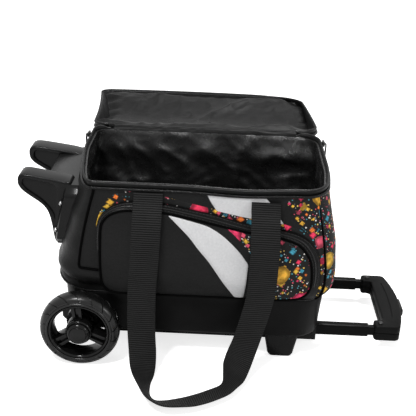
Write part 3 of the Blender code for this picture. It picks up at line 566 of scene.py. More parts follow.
# Palettes of the confetti print
CONFETTI = (
    (0.80, 0.045, 0.11, 1.0),
    (0.80, 0.48, 0.060, 1.0),
    (0.055, 0.29, 0.40, 1.0),
    (0.78, 0.10, 0.17, 1.0),
    (0.80, 0.19, 0.035, 1.0),
    (0.78, 0.050, 0.14, 1.0),
    (0.78, 0.42, 0.050, 1.0),
)
DOTS = (
    (0.75, 0.73, 0.70, 1.0),
    (0.70, 0.10, 0.16, 1.0),
    (0.10, 0.35, 0.42, 1.0),
    (0.72, 0.50, 0.12, 1.0),
)
# Layers of the print: scale, metric, reach of a chip, share of cells kept, seed, raggedness and palette
LAYERS = (
    (270.0, "EUCLIDEAN", 0.42, 0.70, 12.9, 0.10, DOTS),
    (105.0, "CHEBYCHEV", 0.40, 0.66, 5.3, 0.16, CONFETTI),
    (64.0, "MANHATTAN", 0.64, 0.74, 7.7, 0.22, CONFETTI),
    (44.0, "MINKOWSKI", 0.46, 0.60, 9.4, 0.16, CONFETTI),
    (25.0, "EUCLIDEAN", 0.52, 0.78, 8.3, 0.18, CONFETTI),
)


def chips(tree, place, scale, metric, reach, keep, seed, ragged, palette):
    """Scattered chips of one kind: a mask and a colour for each."""
    spot = node(tree, "Mapping", {"Vector": place, "Location": (seed, seed * 0.37, seed * 0.11),
                                  "Rotation": (0, 0, 0.4 * seed)}).outputs["Vector"]
    cells = node(tree, "TexVoronoi", {"Vector": spot, "Scale": scale, "Randomness": 0.8},
                 distance=metric, feature="F1")
    split = node(tree, "SeparateColor", {"Color": cells.outputs["Color"]})
    lot = split.outputs["Red"]
    # Each chip has its own size, and some cells have none
    size = remap(tree, lot, 0.66 * reach, reach, 1 - keep)
    there = reckon(tree, "GREATER_THAN", lot, 1 - keep)
    torn = reckon(tree, "MULTIPLY", cloud(tree, spot, scale * 2.6, 2.0), ragged)
    edge = reckon(tree, "ADD", cells.outputs["Distance"], torn)
    mask = reckon(tree, "MULTIPLY", reckon(tree, "LESS_THAN", edge, size), there)
    pick = node(tree, "ValToRGB", {"Fac": split.outputs["Green"]})
    ramp = pick.color_ramp
    ramp.interpolation = "CONSTANT"
    while len(ramp.elements) < len(palette):
        ramp.elements.new(0.5)
    for i, colour in enumerate(palette):
        ramp.elements[i].position = i / len(palette)
        ramp.elements[i].color = colour
    # Worn in streaks, and darker towards its rim
    worn = remap(tree, cloud(tree, spot, scale * 5.0, 3.0), 0.45, 1.20, 0.30, 0.70)
    rim = remap(tree, reckon(tree, "DIVIDE", edge, size), 1.12, 0.42, 0.74, 0.90)
    shade = reckon(tree, "MULTIPLY", worn, rim)
    return mask, blend(tree, 1.0, pick.outputs["Color"], shade, "MULTIPLY")


def print_material():
    """Black cloth with a generic confetti of chips, diamonds, squares and dots."""
    mat, tree, bsdf = start_material("print_cloth", Specular_IOR_Level=0.12)
    place = place_of(tree)
    colour = blotch(tree, place, TONE_SCALE, grey(0.006), grey(0.012))
    for layer in LAYERS:
        mask, tint = chips(tree, place, *layer)
        colour = blend(tree, mask, colour, tint)
    end_material(tree, bsdf, colour, cloud(tree, place, HAZE_SCALE), 0.50, 0.64,
                 (cloud(tree, place, PUCKER_SCALE), 0.0004, 0.5),
                 (thread_height(tree, place, 0.0007), 0.00010, 0.6))
    return mat


CLOTH = cloth_material("shell_cloth", grey(0.0006), grey(0.0068), 0.0011, 0.38, 0.15, weave=0.0002,
                       pucker=0.0012)
SILVER = cloth_material("silver_cloth", grey(0.49, (1, 1.005, 1.02)), grey(0.62, (1, 1, 1.01)), 0.0006,
                        0.36, 0.3, metallic=0.10, pucker=0.0003)
PRINT = print_material()
LINING = cloth_material("lining_nylon", grey(0.0062), grey(0.0085), 0.0005, 0.27, 0.40)
# Lid lining: a darker copy of the lining nylon, painted shade that offsets the top light the open lid
# catches
LID_NYLON_SHADED = cloth_material("lid_nylon_painted_shade", grey(0.0036), grey(0.0058), 0.0008, 0.33, 0.10, pucker=0.0010)
WEB = webbing_material()
TAPE = tape_material()
COIL = plastic_material("zip_coil", grey(0.006), grey(0.010), 0.28, 0.35)
PIPING = cloth_material("piping", grey(0.003), grey(0.005), 0.0007, 0.26, 0.15)
# Seam cord: a near-black, barely shiny copy of the shell cloth; its dark is painted shade of the grooves at
# the seams and of the gap inside the pocket's band
SEAM_SHADE_CORD = cloth_material("seam_cord_painted_shade", grey(0.0008), grey(0.0016), 0.0007, 0.6, 0.02)
THREAD = cloth_material("thread", grey(0.014), grey(0.026), 0.0003, 0.6, 0.2, by_uv=False)
VINYL = plastic_material("base_vinyl", grey(0.0035), grey(0.0055), 0.40, 0.07, 700.0, 0.00012)
PLASTIC = plastic_material("moulded_plastic", grey(0.0040), grey(0.0065), 0.25, 0.15)
GLOSS = plastic_material("wheel_plastic", grey(0.003), grey(0.005), 0.14, 0.20, depth=0.00002)
RUBBER = plastic_material("tyre_rubber", grey(0.003), grey(0.005), 0.27, 0.32, 500.0, 0.00008)
GRIP = plastic_material("grip_plastic", grey(0.0030), grey(0.0045), 0.50, 0.06, depth=0.00004)
PAINT = plastic_material("tube_paint", grey(0.0020), grey(0.0035), 0.26, 0.05, 1500.0, 0.00003)
STEEL = plastic_material("zinc_steel", grey(0.40), grey(0.55), 0.34, 0.5, 1200.0, 0.00004, 1.0)
DARK_METAL = plastic_material("dark_metal", grey(0.03), grey(0.06), 0.34, 0.4, metallic=0.9)
BOARD = plastic_material("stiff_board", grey(0.010), grey(0.016), 0.75, 0.1, 300.0, 0.0002)


# Outline of the bag

def rise(z):
    """0 at the foot of the cloth and 1 at the rim."""
    return clamp((z - BASE_TOP) / (WALL_TOP - BASE_TOP))


def taper(z):
    return BASE_TAPER * max(BASE_TOP - z, 0) / (BASE_TOP - BASE_LOW)


def left_x(z):
    t = rise(z)
    return -HALF_LENGTH - LEFT_LEAN * (1 - t) - LEFT_BULGE * math.sin(math.pi * t) + taper(z)


def right_x(z):
    t = rise(z)
    bulge = RIGHT_BULGE * math.sin(math.pi * t ** RIGHT_BULGE_POWER)
    return HALF_LENGTH + bulge - RIGHT_LEAN * t ** 2 - taper(z)


def half_depth(z):
    return HALF_DEPTH - taper(z)


def line_run(x0, y0, x1, y1, count):
    length = math.hypot(x1 - x0, y1 - y0)
    nx, ny = (y1 - y0) / length, (x0 - x1) / length
    return [(mix(x0, x1, i / count), mix(y0, y1, i / count), nx, ny) for i in range(count)]


def bend_run(cx, cy, radius, start, end, count, deep=None):
    """Quarter bend, drawn out to another depth along y where one is given."""
    deep = deep or radius
    out = []
    for i in range(count):
        a = math.radians(mix(start, end, i / count))
        way = Vector((math.cos(a) / radius, math.sin(a) / deep)).normalized()
        out.append((cx + radius * math.cos(a), cy + deep * math.sin(a), way.x, way.y))
    return out


def end_in(y, z):
    """How far the soft wheel end leans in towards the pocket side."""
    return END_LEAN * smooth((0.04 - y) / 0.13) * (0.35 + 0.65 * rise(z))


def front_lean(y, z):
    """How far the handle end leans in towards the rim on the pocket side."""
    return FRONT_LEAN * smooth((-0.02 - y) / 0.09) * rise(z) ** 2


def left_sweep(z):
    return mix(LEFT_SWEEP_LOW, LEFT_SWEEP_TOP, rise(z))


def corner_in(y, z):
    """How far the swept corner at the wheel end has turned in at y."""
    past = clamp((left_sweep(z) - half_depth(z) - y) / left_sweep(z), 0.0, 0.98)
    return LEFT_CORNER * (1 - math.sqrt(1 - past ** 2))


def outline(z, plain=False):
    """Stations round the bag at height z, each with the way out.

    The front left corner sweeps back and the ends lean in, unless plain.
    """
    xl, xr, hd = left_x(z), right_x(z), half_depth(z)
    lc, rc, bc = LEFT_CORNER, RIGHT_CORNER, BACK_CORNER
    sweep = left_sweep(z)
    if plain:
        lc = sweep = BACK_CORNER
    seam = xl + lc + LEFT_WRAP
    back_seam = xl + bc + LEFT_WRAP
    turn = SEAM_TURN
    run = (line_run(seam, -hd, xr - rc, -hd, FLAT_STEPS)
           + bend_run(xr - rc, rc - hd, rc, -90, turn - 90, LONG_TURN_STEPS)
           + bend_run(xr - rc, rc - hd, rc, turn - 90, 0, END_TURN_STEPS)
           + line_run(xr, rc - hd, xr, hd - rc, END_STEPS)
           + bend_run(xr - rc, hd - rc, rc, 0, 90 - turn, END_TURN_STEPS)
           + bend_run(xr - rc, hd - rc, rc, 90 - turn, 90, LONG_TURN_STEPS)
           + line_run(xr - rc, hd, back_seam, hd, FLAT_STEPS)
           + line_run(back_seam, hd, xl + bc, hd, WRAP_STEPS)
           + bend_run(xl + bc, hd - bc, bc, 90, 180, LEFT_TURN_STEPS)
           + line_run(xl, hd - bc, xl, sweep - hd, END_STEPS)
           + bend_run(xl + lc, sweep - hd, lc, 180, 270, LEFT_TURN_STEPS, sweep)
           + line_run(xl + lc, -hd, seam, -hd, WRAP_STEPS))
    if plain:
        return run
    moved = []
    for x, y, nx, ny in run:
        left = clamp((seam - x) / (seam - xl))
        right = clamp((x - FRONT_LEAN_FROM) / (xr - FRONT_LEAN_FROM)) ** 2
        moved.append((x + left * end_in(y, z) - right * front_lean(y, z), y, nx, ny))
    return moved


STATIONS = len(outline(WALL_TOP))
LONG = FLAT_STEPS + LONG_TURN_STEPS
END = 2 * END_TURN_STEPS + END_STEPS

# Slack of the wall cloth: how far its waves, folds, roll and pleat stand off the plain outline
BELLY = 0.0010
WAVE = 0.0011
END_WAVE = 0.0010
FINE_WAVE = 0.0005
SLACK = 0.0014
LEFT_SLACK = 0.0030
HEM_ROLL = 0.0042
HEM_PLEAT = 0.0040
FOOT_IN = 0.0018
TOP_IN = 0.0006
RIM_SAG = 0.0035


def sag(x, y):
    """The rim dips a little in the middle of the pocket side."""
    return -RIM_SAG * hump(x - 0.055, 0.050) * smooth(-y / HALF_DEPTH)


def swell(x, y, z):
    """How far the cloth stands out from the plain outline."""
    belly = math.sin(math.pi * rise(z))
    spot = (x, y, z)
    end = smooth((abs(x) - 0.15) / 0.03)
    out = BELLY * belly + (WAVE + END_WAVE * end) * belly * ripple(spot, 15.0)
    slack = SLACK + LEFT_SLACK * smooth((-0.09 - x) / 0.05)
    out += (slack * belly * (crease((x + 0.6 * z, y, 0.7 * z), 21.0, 4.0) - 0.6)
            + FINE_WAVE * belly * ripple(spot, 46.0, 2.0))
    out -= FOOT_IN * (1 - smooth((z - BASE_TOP) / 0.012))
    # Above the wheel the foot of the cloth rolls over a pleat
    pleat = hump(z - BASE_TOP - 0.013 - 0.012 * ripple((x, y, 0), 9.0, 15.0), 0.0035)
    roll = hump(z - BASE_TOP - 0.026, 0.011)
    out += smooth((-0.105 - x) / 0.045) * (HEM_ROLL * roll - HEM_PLEAT * pleat)
    return out - TOP_IN * (1 - smooth((WALL_TOP - z) / 0.010))


def wall_point(station, z, lift=0.0):
    x, y, nx, ny = station
    out = swell(x, y, z) + lift
    return Vector((x + nx * out, y + ny * out, z + sag(x, y) * rise(z) ** 2))


def front_at(s, z, lift=0.0):
    """Point on the pocket side at s along it, where s is x up to the handle end corner."""
    start = right_x(z) - RIGHT_CORNER
    hd = half_depth(z)
    if s <= start:
        return wall_point((s, -hd, 0, -1), z, lift)
    a = (s - start) / RIGHT_CORNER - math.pi / 2
    x = start + RIGHT_CORNER * math.cos(a)
    y = RIGHT_CORNER - hd + RIGHT_CORNER * math.sin(a)
    return wall_point((x, y, math.cos(a), math.sin(a)), z, lift)


# Fabric walls
WALL_LEVELS = 40
WALL_THICK = 0.0030
HEM_CLIMB = 0.011
TUCK_IN = 0.008


def wheel_end(x):
    """0 along the bag and 1 over the wheels."""
    return smooth((-0.150 - x) / 0.045)


def hem(x):
    """How far the seam between cloth and base climbs towards the wheel end."""
    return HEM_CLIMB * wheel_end(x)


def base_tuck(x):
    """How far the base is set in under the wheel end."""
    return TUCK_IN * wheel_end(x)


def hung(p):
    """Draw the foot of the cloth up to the hem."""
    return p + UP * hem(p.x) * (1 - rise(p.z))


wall_rows = []
for i in range(WALL_LEVELS + 1):
    z = mix(BASE_TOP + 0.0002, WALL_TOP, i / WALL_LEVELS)
    wall_rows.append([hung(wall_point(station, z)) for station in outline(z)])
for name, first, last, finish, slot in (
        ("front_panel", 0, LONG, CLOTH, "shell_cloth"),
        ("right_panel", LONG, LONG + END, PRINT, "print_cloth"),
        ("back_panel", LONG + END, 2 * LONG + END, CLOTH, "shell_cloth"),
        ("left_panel", 2 * LONG + END, STATIONS, CLOTH, "shell_cloth")):
    columns = [c % STATIONS for c in range(first, last + 1)]
    panel = grid(name + "_cloth", [[row[c] for c in columns] for row in wall_rows])
    dress(thicken(panel, WALL_THICK), finish, "bag", slot, name, sharp=60)

# Cord piping up the four seams, near-black as painted shade of the groove along each seam
SEAM_TOP = WALL_TOP - 0.002
SEAM_LIFT = 0.0008
SEAM_RADIUS = 0.0018
SEAM_STEPS = 46
# The front left seam turns towards the pocket above the wheel
TURN_HIGH = 0.1385
TURN_LOW = 0.1360
TURN_BEND = 0.004
TURN_END = -0.1365
TURN_STEPS = 8
for name, column in (("seam_front_left", 0), ("seam_front_right", LONG), ("seam_back_right", LONG + END),
                     ("seam_back_left", 2 * LONG + END)):
    path = []
    foot = BASE_TOP + 0.001
    if column == 0:
        foot = TURN_HIGH + TURN_BEND
        corner = outline(TURN_HIGH)[0][0] + TURN_BEND
        for i in range(TURN_STEPS, -1, -1):
            share = i / TURN_STEPS
            path.append(front_at(mix(corner, TURN_END, share), mix(TURN_HIGH, TURN_LOW, share), SEAM_LIFT))
        path.append(front_at(corner - 0.7 * TURN_BEND, TURN_HIGH + 0.3 * TURN_BEND, SEAM_LIFT))
    for i in range(SEAM_STEPS + 1):
        z = mix(foot, SEAM_TOP, i / SEAM_STEPS)
        path.append(hung(wall_point(outline(z)[column], z, SEAM_LIFT)))
    dress(tube(name, path, SEAM_RADIUS, 10), SEAM_SHADE_CORD, "bag", "shell_cloth")

# Rim: piping at the seam, the zip tape above it and the coil on its edge
ZIP_COLUMNS = [c % STATIONS for c in range(2 * LONG + END, STATIONS + LONG + END + LONG_TURN_STEPS + 1)]
PIPING_RADIUS = 0.0021
PIPING_STEP = 0.004
TAPE_PROFILE = (
    (-0.0026, -0.0030), (0.0002, -0.0026), (0.0006, 0.0010), (0.0016, 0.0036), (0.0018, 0.0054),
    (0.0006, 0.0064), (-0.0010, 0.0064), (-0.0020, 0.0052), (-0.0026, 0.0020),
)
TAPE_TOP = 0.0064
TAPE_RUNOUT = 8
COIL_STEP = 0.0008
COIL_RADIUS = 0.0013


def toothed(i):
    """Radius along a coil, thick and thin by turns."""
    return COIL_RADIUS * (1.0 if i % 2 else 0.66)


def runout(i):
    """Share of the tape's full size: it thins to a quarter at the hinge."""
    return mix(0.25, 1.0, smooth(min(i, len(ZIP_COLUMNS) - 1 - i) / TAPE_RUNOUT))


def rim_path(z, lift, height=0.0):
    stations = outline(z)
    return [wall_point(stations[c], z, lift * runout(i)) + UP * height * runout(i)
            for i, c in enumerate(ZIP_COLUMNS)]


def zip_cord(name, body, path):
    """Piping along one half of the big zip."""
    dress(tube(name, evenly(path, PIPING_STEP), PIPING_RADIUS, 10), PIPING, body, "shell_cloth")


def zip_half(prefix, body, tape_rows, coil_path, node_name):
    """Tape and coil of one half of the big zip."""
    dress(ringed(prefix + "_tape", tape_rows), TAPE, body, "zip_tape", node_name)
    coil = tube(prefix + "_coil", evenly(coil_path, COIL_STEP), toothed, 6)
    dress(coil, COIL, body, "zip_tape", sharp=180)


zip_cord("rim_piping", "bag", rim_path(WALL_TOP - 0.0022, 0.0014))
rim_rows = []
rim_stations = outline(WALL_TOP)
for i, c in enumerate(ZIP_COLUMNS):
    out = Vector((rim_stations[c][2], rim_stations[c][3], 0))
    point = wall_point(rim_stations[c], WALL_TOP)
    rim_rows.append([point + (out * a + UP * b) * runout(i) for a, b in TAPE_PROFILE])
zip_half("rim", "bag", rim_rows, rim_path(WALL_TOP, -0.0002, 0.0066), "rim_binding")

# Lining: walls with loose folds, and a floor
FLOOR_Z = 0.0503
FLOOR_RINGS = 14
LINING_IN = 0.0048
LINING_LEVELS = 60
LINING_TURN = 0.0012
LINING_RISE = 0.0008
LINING_TUCK = 1.4
# Slack that hangs in a swag under the rim
SWAG_Z = 0.229
SWAG_WAVE = 0.012
SWAG_HEIGHT = 0.013
SWAG_DEPTH = 0.0062


def lining_point(station, z):
    x, y, nx, ny = station
    loose = math.sin(math.pi * clamp((z - FLOOR_Z) / (WALL_TOP - FLOOR_Z))) ** 0.6
    fold = 0.0085 * crease((x * 1.2, y * 1.2, z * 0.7), 13.0, 9.0) ** 4
    fold += 0.0046 * crease((x + 0.6 * z, y + 0.5 * z, 0.8 * z), 27.0, 5.0) ** 4
    fold += (0.0018 * crease((x - 0.5 * z, y - 0.5 * z, z), 55.0, 7.0) ** 3
             + 0.0004 * (ripple((x, y, z), 60.0, 3.0) + 1))
    low = z - SWAG_Z - SWAG_WAVE * ripple((x, y, 0), 8.0, 17.0)
    swag = SWAG_DEPTH * hump(low, SWAG_HEIGHT) * clamp(0.55 + ripple((x, y, 0), 16.0, 8.0))
    # Where the wall sinks in, the lining gives way to it
    inset = LINING_IN + loose * fold + swag - min(0.0, swell(x, y, z))
    tuck = LINING_TUCK * base_tuck(x) * (1 - smooth((z - BASE_TOP) / 0.030))
    return Vector((x - nx * inset + tuck, y - ny * inset, z + sag(x, y) * rise(z) ** 2))


lining_rows = []
for i in range(LINING_LEVELS + 1):
    z = mix(FLOOR_Z, WALL_TOP + 0.0005, i / LINING_LEVELS)
    lining_rows.append([lining_point(station, z) for station in outline(max(z, BASE_LOW + 0.012))])
# Its top edge turns out under the zip tape
lining_rows.append([wall_point(station, WALL_TOP, -LINING_TURN) + UP * LINING_RISE
                    for station in rim_stations])
floor_rows = []
for i in range(FLOOR_RINGS):
    share = 0.04 + 0.96 * i / FLOOR_RINGS
    row = [Vector((p.x * share, p.y * share, FLOOR_Z)) for p in lining_rows[0]]
    for p in row:
        p.z += 0.0006 * (crease(p, 30.0, 6.0) - 0.4) * smooth((1 - share) / 0.05)
    floor_rows.append(row)
lining = grid("lining_cloth", floor_rows + lining_rows, wrap_col=True)
lining.data.flip_normals()
dress(lining, LINING, "bag", "lining_nylon", "lining", sharp=60)

# Base: a smooth bonded band round the board, each ring of it an inset and a height
BASE_PROFILE = (
    (0.030, 0.0361), (0.0062, 0.0361), (0.0030, 0.0368), (0.0009, 0.0388), (0.0, 0.0418), (0.0, 0.055),
    (0.0, 0.070), (0.0, 0.085), (0.0, 0.0962), (0.0004, 0.0986), (0.0014, 0.0997), (0.0030, 0.0990),
    (0.0034, 0.0900), (0.0034, 0.0600), (0.0040, 0.0440), (0.0080, 0.0432), (0.030, 0.0432),
)
NOTCH_LOW = Vector((-0.1376, -0.0785, 0.010))
NOTCH_HIGH = Vector((0.1900, 0.0785, 0.0424))
BASE_CORD = 0.0013
base_rows = []
for inset, z in BASE_PROFILE:
    row = []
    for x, y, nx, ny in outline(z):
        bow = 0.0006 * ripple((x, y, z), 9.0, 8.0) if 0.05 < z < 0.09 else 0.0
        climb = hem(x) * smooth((z - 0.060) / 0.036)
        row.append(Vector((x - nx * (inset - bow) + base_tuck(x), y - ny * (inset - bow), z + climb)))
    base_rows.append(row)
base = cut(ringed("base_band", base_rows), block("notch", NOTCH_LOW, NOTCH_HIGH))
dress(base, VINYL, "bag", "base_vinyl", "base_tray", sharp=40)
base_seam = []
for x, y, nx, ny in outline(BASE_TOP):
    base_seam.append(Vector((x - nx * 0.0010, y - ny * 0.0010, BASE_TOP + 0.0006 + hem(x))))
dress(tube("base_piping", base_seam, BASE_CORD, 8, True), PIPING, "bag", "shell_cloth")

# Pocket: its outline on the wall, clockwise from the lower left, seen from the front
POCKET_LINE = (
    (-0.133, 0.132), (-0.1335, 0.165), (-0.132, 0.198), (-0.129, 0.210), (-0.121, 0.220),
    (-0.108, 0.2265), (-0.091, 0.2290), (-0.051, 0.2280), (-0.015, 0.2215), (0.012, 0.2155),
    (0.040, 0.2095), (0.065, 0.2045), (0.090, 0.2010), (0.108, 0.1980), (0.129, 0.1905), (0.141, 0.1785),
    (0.149, 0.162), (0.1520, 0.136), (0.149, 0.119), (0.138, 0.1085), (0.118, 0.1050), (0.060, 0.1045),
    (0.0, 0.1045), (-0.060, 0.1045), (-0.100, 0.1045), (-0.120, 0.1068), (-0.130, 0.116),
)
POCKET_EDGE = 0.0080
POCKET_CROWN = 0.0172
POCKET_HEART = Vector((0.0, 0, 0.160))
POCKET_STATIONS = 220
POCKET_CORD = 0.0017
FACE_RINGS = 30
FACE_EDGE = 0.985
pocket_line = through(POCKET_LINE, POCKET_STATIONS, True)


def pocket_share(x, z):
    """0 at the heart of the pocket and 1 at its edge, along a ray."""
    dx, dz = x - POCKET_HEART.x, z - POCKET_HEART.z
    reach = math.hypot(dx, dz)
    if reach < 1e-6:
        return 0.0
    nx, nz = dx / reach, dz / reach
    for a, b in zip(pocket_line, pocket_line[1:] + pocket_line[:1]):
        ax, az = a.x - POCKET_HEART.x, a.z - POCKET_HEART.z
        bx, bz = b.x - POCKET_HEART.x, b.z - POCKET_HEART.z
        side_a, side_b = nx * az - nz * ax, nx * bz - nz * bx
        if side_a * side_b <= 0 and nx * (ax + bx) + nz * (az + bz) > 0 and side_a != side_b:
            t = side_a / (side_a - side_b)
            return reach / math.hypot(mix(ax, bx, t), mix(az, bz, t))
    return 1.0


def pocket_height(x, z, share):
    """How far the pocket's face stands off the wall."""
    crown = (POCKET_CROWN - POCKET_EDGE) * (1 - clamp(share) ** 2.6)
    loose = 1 - clamp(share) ** 4
    soft = (0.0009 * ripple((x, 3.0, z), 17.0, 1.0)
            + 0.0046 * (crease((x + 0.7 * z, 1.0, 0.35 * z), 14.0, 6.0) - 0.85))
    soft += 0.0004 * ripple((x, 5.0, z), 60.0, 4.0)
    return POCKET_EDGE + crown + loose * soft


def pocket_at(x, z, lift=0.0):
    share = min(pocket_share(x, z), FACE_EDGE)
    return Vector((x, -HALF_DEPTH - pocket_height(x, z, share) - lift, z))


def pocket_ring(share, off=None):
    """Ring round the pocket's heart, on its face unless the distance off the wall is given."""
    row = []
    for p in pocket_line:
        x, z = mix(POCKET_HEART.x, p.x, share), mix(POCKET_HEART.z, p.z, share)
        row.append(Vector((x, -HALF_DEPTH - (pocket_height(x, z, share) if off is None else off), z)))
    return row


POCKET_SIDE = ((1.006, -0.001), (1.010, 0.003), (1.006, 0.0062), (0.996, 0.0078))
pocket_rows = [pocket_ring(share, off) for share, off in POCKET_SIDE]
for i in range(FACE_RINGS + 1):
    pocket_rows.append(pocket_ring(FACE_EDGE * (1 - i / FACE_RINGS) ** 0.9 + 0.002))
pocket = grid("pocket_cloth", pocket_rows, wrap_col=True)
lay_flat(pocket, lambda co: (co.x, co.z))
dress(pocket, CLOTH, "bag", "shell_cloth", "pocket", sharp=60)
pocket_edge = [Vector((p.x, -HALF_DEPTH - POCKET_EDGE - 0.0004, p.z)) for p in pocket_line]
# The pocket's edge cord is near-black: painted shade of the gap between the pocket and its zip band
dress(tube("pocket_piping", pocket_edge, POCKET_CORD, 8, True), SEAM_SHADE_CORD, "bag", "shell_cloth")


# Flat patches of other cloth, laid on the wall or on the pocket
PATCH_HEM = 0.002
PATCH_OFF = 0.0001


def cloth_place(co):
    spot = co - MID
    return spot.x + 0.6 * (spot.y + HALF_DEPTH), spot.z


def patch(name, left, right, across, down, place, finish, lift):
    """Cloth ruled between two edges; place puts (x, z) on what carries it."""
    rows = []
    for p, q in zip(through(left, down), through(right, down)):
        row = []
        for k in range(across + 1):
            t = k / across
            border = min(t, 1 - t) * (q - p).length
            off = lift * smooth(border / PATCH_HEM) + PATCH_OFF
            row.append(place(mix(p.x, q.x, t), mix(p.z, q.z, t), off))
        rows.append(row)
    made = grid(name, rows)
    lay_flat(made, cloth_place)
    face_front(made)
    dress(made, finish, "bag", "print_cloth", sharp=180)


ZIP_OUTER = (
    (-0.138, 0.170), (-0.138, 0.196), (-0.134, 0.214), (-0.124, 0.2265), (-0.111, 0.2345),
    (-0.091, 0.2385), (-0.051, 0.2375), (-0.016, 0.232), (0.027, 0.2245), (0.067, 0.2150),
    (0.108, 0.2080), (0.133, 0.2005), (0.149, 0.188), (0.158, 0.170), (0.1615, 0.150), (0.1600, 0.128),
)
STRIP_LOW = ((-0.138, 0.200),) + ZIP_OUTER[2:13]
STRIP_TOP = (
    (-0.138, 0.205), (-0.134, 0.219), (-0.125, 0.238), (-0.113, 0.248), (-0.100, 0.2525),
    (-0.089, 0.2535), (-0.052, 0.248), (-0.016, 0.2405), (0.017, 0.234), (0.066, 0.226), (0.109, 0.2165),
    (0.139, 0.205), (0.151, 0.192),
)
UPPER_LEFT = ((0.006, 0.2565), (0.012, 0.245), (0.020, 0.2325))
UPPER_RIGHT = ((0.082, 0.2555), (0.090, 0.246), (0.109, 0.2165))
CORNER_LEFT = (
    (0.106, 0.2565), (0.116, 0.238), (0.130, 0.2150), (0.141, 0.203), (0.1525, 0.186), (0.161, 0.165),
    (0.1635, 0.140), (0.1625, 0.115), (0.160, 0.1015),
)
CORNER_REACH = RIGHT_CORNER * math.radians(SEAM_TURN) - 0.0015
CORNER_RIGHT = [(right_x(z) - RIGHT_CORNER + CORNER_REACH, z)
                for z in (0.2565, 0.240, 0.215, 0.190, 0.165, 0.140, 0.115, 0.1015)]
SILVER_LEFT = (
    (-0.042, 0.2240), (-0.028, 0.211), (-0.014, 0.197), (-0.001, 0.180), (0.014, 0.161), (0.030, 0.136),
    (0.045, 0.113), (0.049, 0.1068),
)
SILVER_RIGHT = (
    (-0.040, 0.2245), (-0.017, 0.219), (0.008, 0.212), (0.025, 0.203), (0.039, 0.192), (0.053, 0.178),
    (0.0615, 0.1665), (0.0648, 0.1615), (0.0648, 0.1560), (0.064, 0.138), (0.062, 0.114), (0.061, 0.1068),
)
PRINT_LEFT = (
    (0.036, 0.2085), (0.046, 0.2000), (0.058, 0.1880), (0.070, 0.1740), (0.081, 0.157), (0.086, 0.138),
    (0.087, 0.120), (0.086, 0.1068),
)
PRINT_RIGHT = (
    (0.0375, 0.2090), (0.065, 0.2032), (0.090, 0.1995), (0.108, 0.1965), (0.1275, 0.1890),
    (0.1395, 0.1775), (0.1475, 0.1615), (0.1503, 0.136), (0.1475, 0.1198), (0.137, 0.1100),
    (0.118, 0.1066),
)
patch("print_strip", STRIP_LOW, STRIP_TOP, 10, 90, front_at, PRINT, 0.0005)
patch("upper_silver", UPPER_LEFT, UPPER_RIGHT, 40, 14, front_at, SILVER, 0.0008)
patch("print_corner", CORNER_LEFT, CORNER_RIGHT, 26, 60, front_at, PRINT, 0.0007)
patch("pocket_silver", SILVER_LEFT, SILVER_RIGHT, 22, 60, pocket_at, SILVER, 0.0007)
patch("pocket_print", PRINT_LEFT, PRINT_RIGHT, 34, 70, pocket_at, PRINT, 0.0006)

# Zip band round the top of the pocket, with its coil and two rows of stitches
BAND_INNER = POCKET_LINE[1:18] + ((0.1510, 0.124),)
BAND_STEPS = 200
BAND_COIL_STEPS = 520
BAND_PROFILE = (
    (0.0, 0.0072), (0.12, 0.0066), (0.30, 0.0050), (0.46, 0.0044), (0.54, 0.0044), (0.70, 0.0046),
    (0.88, 0.0044), (0.97, 0.0034), (1.0, 0.0002),
)
band_lines = list(zip(through(BAND_INNER, BAND_STEPS), through(ZIP_OUTER, BAND_STEPS)))


def band_line(t, off):
    """Line at a share of the way across the band, stood off the wall."""
    line = []
    for p, q in band_lines:
        spot = front_at(mix(p.x, q.x, t), mix(p.z, q.z, t))
        spot.y -= off
        line.append(spot)
    return line


band = grid("pocket_band", list(zip(*(band_line(t, off) for t, off in BAND_PROFILE))))
face_front(band)
dress(band, TAPE, "bag", "zip_tape", "pocket_zip", sharp=60)
band_coil = resample(band_line(0.5, 0.0044), BAND_COIL_STEPS)
dress(tube("pocket_coil", band_coil, toothed, 6), COIL, "bag", "zip_tape", sharp=180)
outer_stitches = [front_at(q.x, q.z, 0.0004) + (p - q).normalized() * 0.0012 + FRONT * 0.0040
                  for p, q in band_lines]
for name, path in (("stitch_band_outer", outer_stitches), ("stitch_band_inner", band_line(0.24, 0.0056))):
    dress(stitch_row(name, path), THREAD, "bag", "shell_cloth")


# Lid, laid out shut and swung open
LID_LEVELS = 14
LID_THICK = 0.0024
LID_CORD = 0.0020
DISC_REACH = 0.985
# How far the open lid's free edge hangs out or is drawn in at the hinge and at its far corners
HANG_NEAR = 0.005
HANG_LEFT = 0.023
DRAWN_RIGHT = 0.013
BACK_RIGHT = 0.011
BACK_MIDDLE = 0.006
lid_stations = outline(WALL_TOP, True)


def open_lid(p):
    a = math.radians(-LID_OPEN)
    dy, dz = p.y - HINGE_Y, p.z - HINGE_Z
    return Vector((p.x, HINGE_Y + dy * math.cos(a) - dz * math.sin(a),
                   HINGE_Z + dy * math.sin(a) + dz * math.cos(a)))


def lid_shift(x, y, z):
    """How the open lid's soft free edge hangs: out at the far left, drawn in at the far right corner."""
    free = 1 - clamp((z - LID_EDGE) / LID_DEPTH)
    far = clamp((HALF_DEPTH - y) / (2 * HALF_DEPTH))
    left = -(HANG_NEAR + HANG_LEFT * far ** 1.6) * smooth(-x / 0.12)
    right = -DRAWN_RIGHT * far ** 1.5 * smooth((x - 0.05) / 0.11)
    back = BACK_RIGHT * far ** 2 * smooth((x - 0.085) / 0.085)
    back -= BACK_MIDDLE * far ** 2 * max(0.0, 1 - ((x + 0.03) / 0.14) ** 2)
    return Vector((left + right, back, 0)) * free


def lid_point(station, z, inset=0.0):
    x, y, nx, ny = station
    soft = 0.0010 * ripple((x, y, z), 16.0, 12.0) + 0.0012 * (crease((x, y, 0.4 * z), 24.0, 13.0) - 0.6)
    droop = math.sin(math.pi * clamp((z - LID_EDGE) / LID_DEPTH))
    draw = inset - soft * (1 - smooth((y - 0.09) / 0.02)) * droop
    return open_lid(Vector((x - nx * draw, y - ny * draw, z)) + lid_shift(x, y, z))


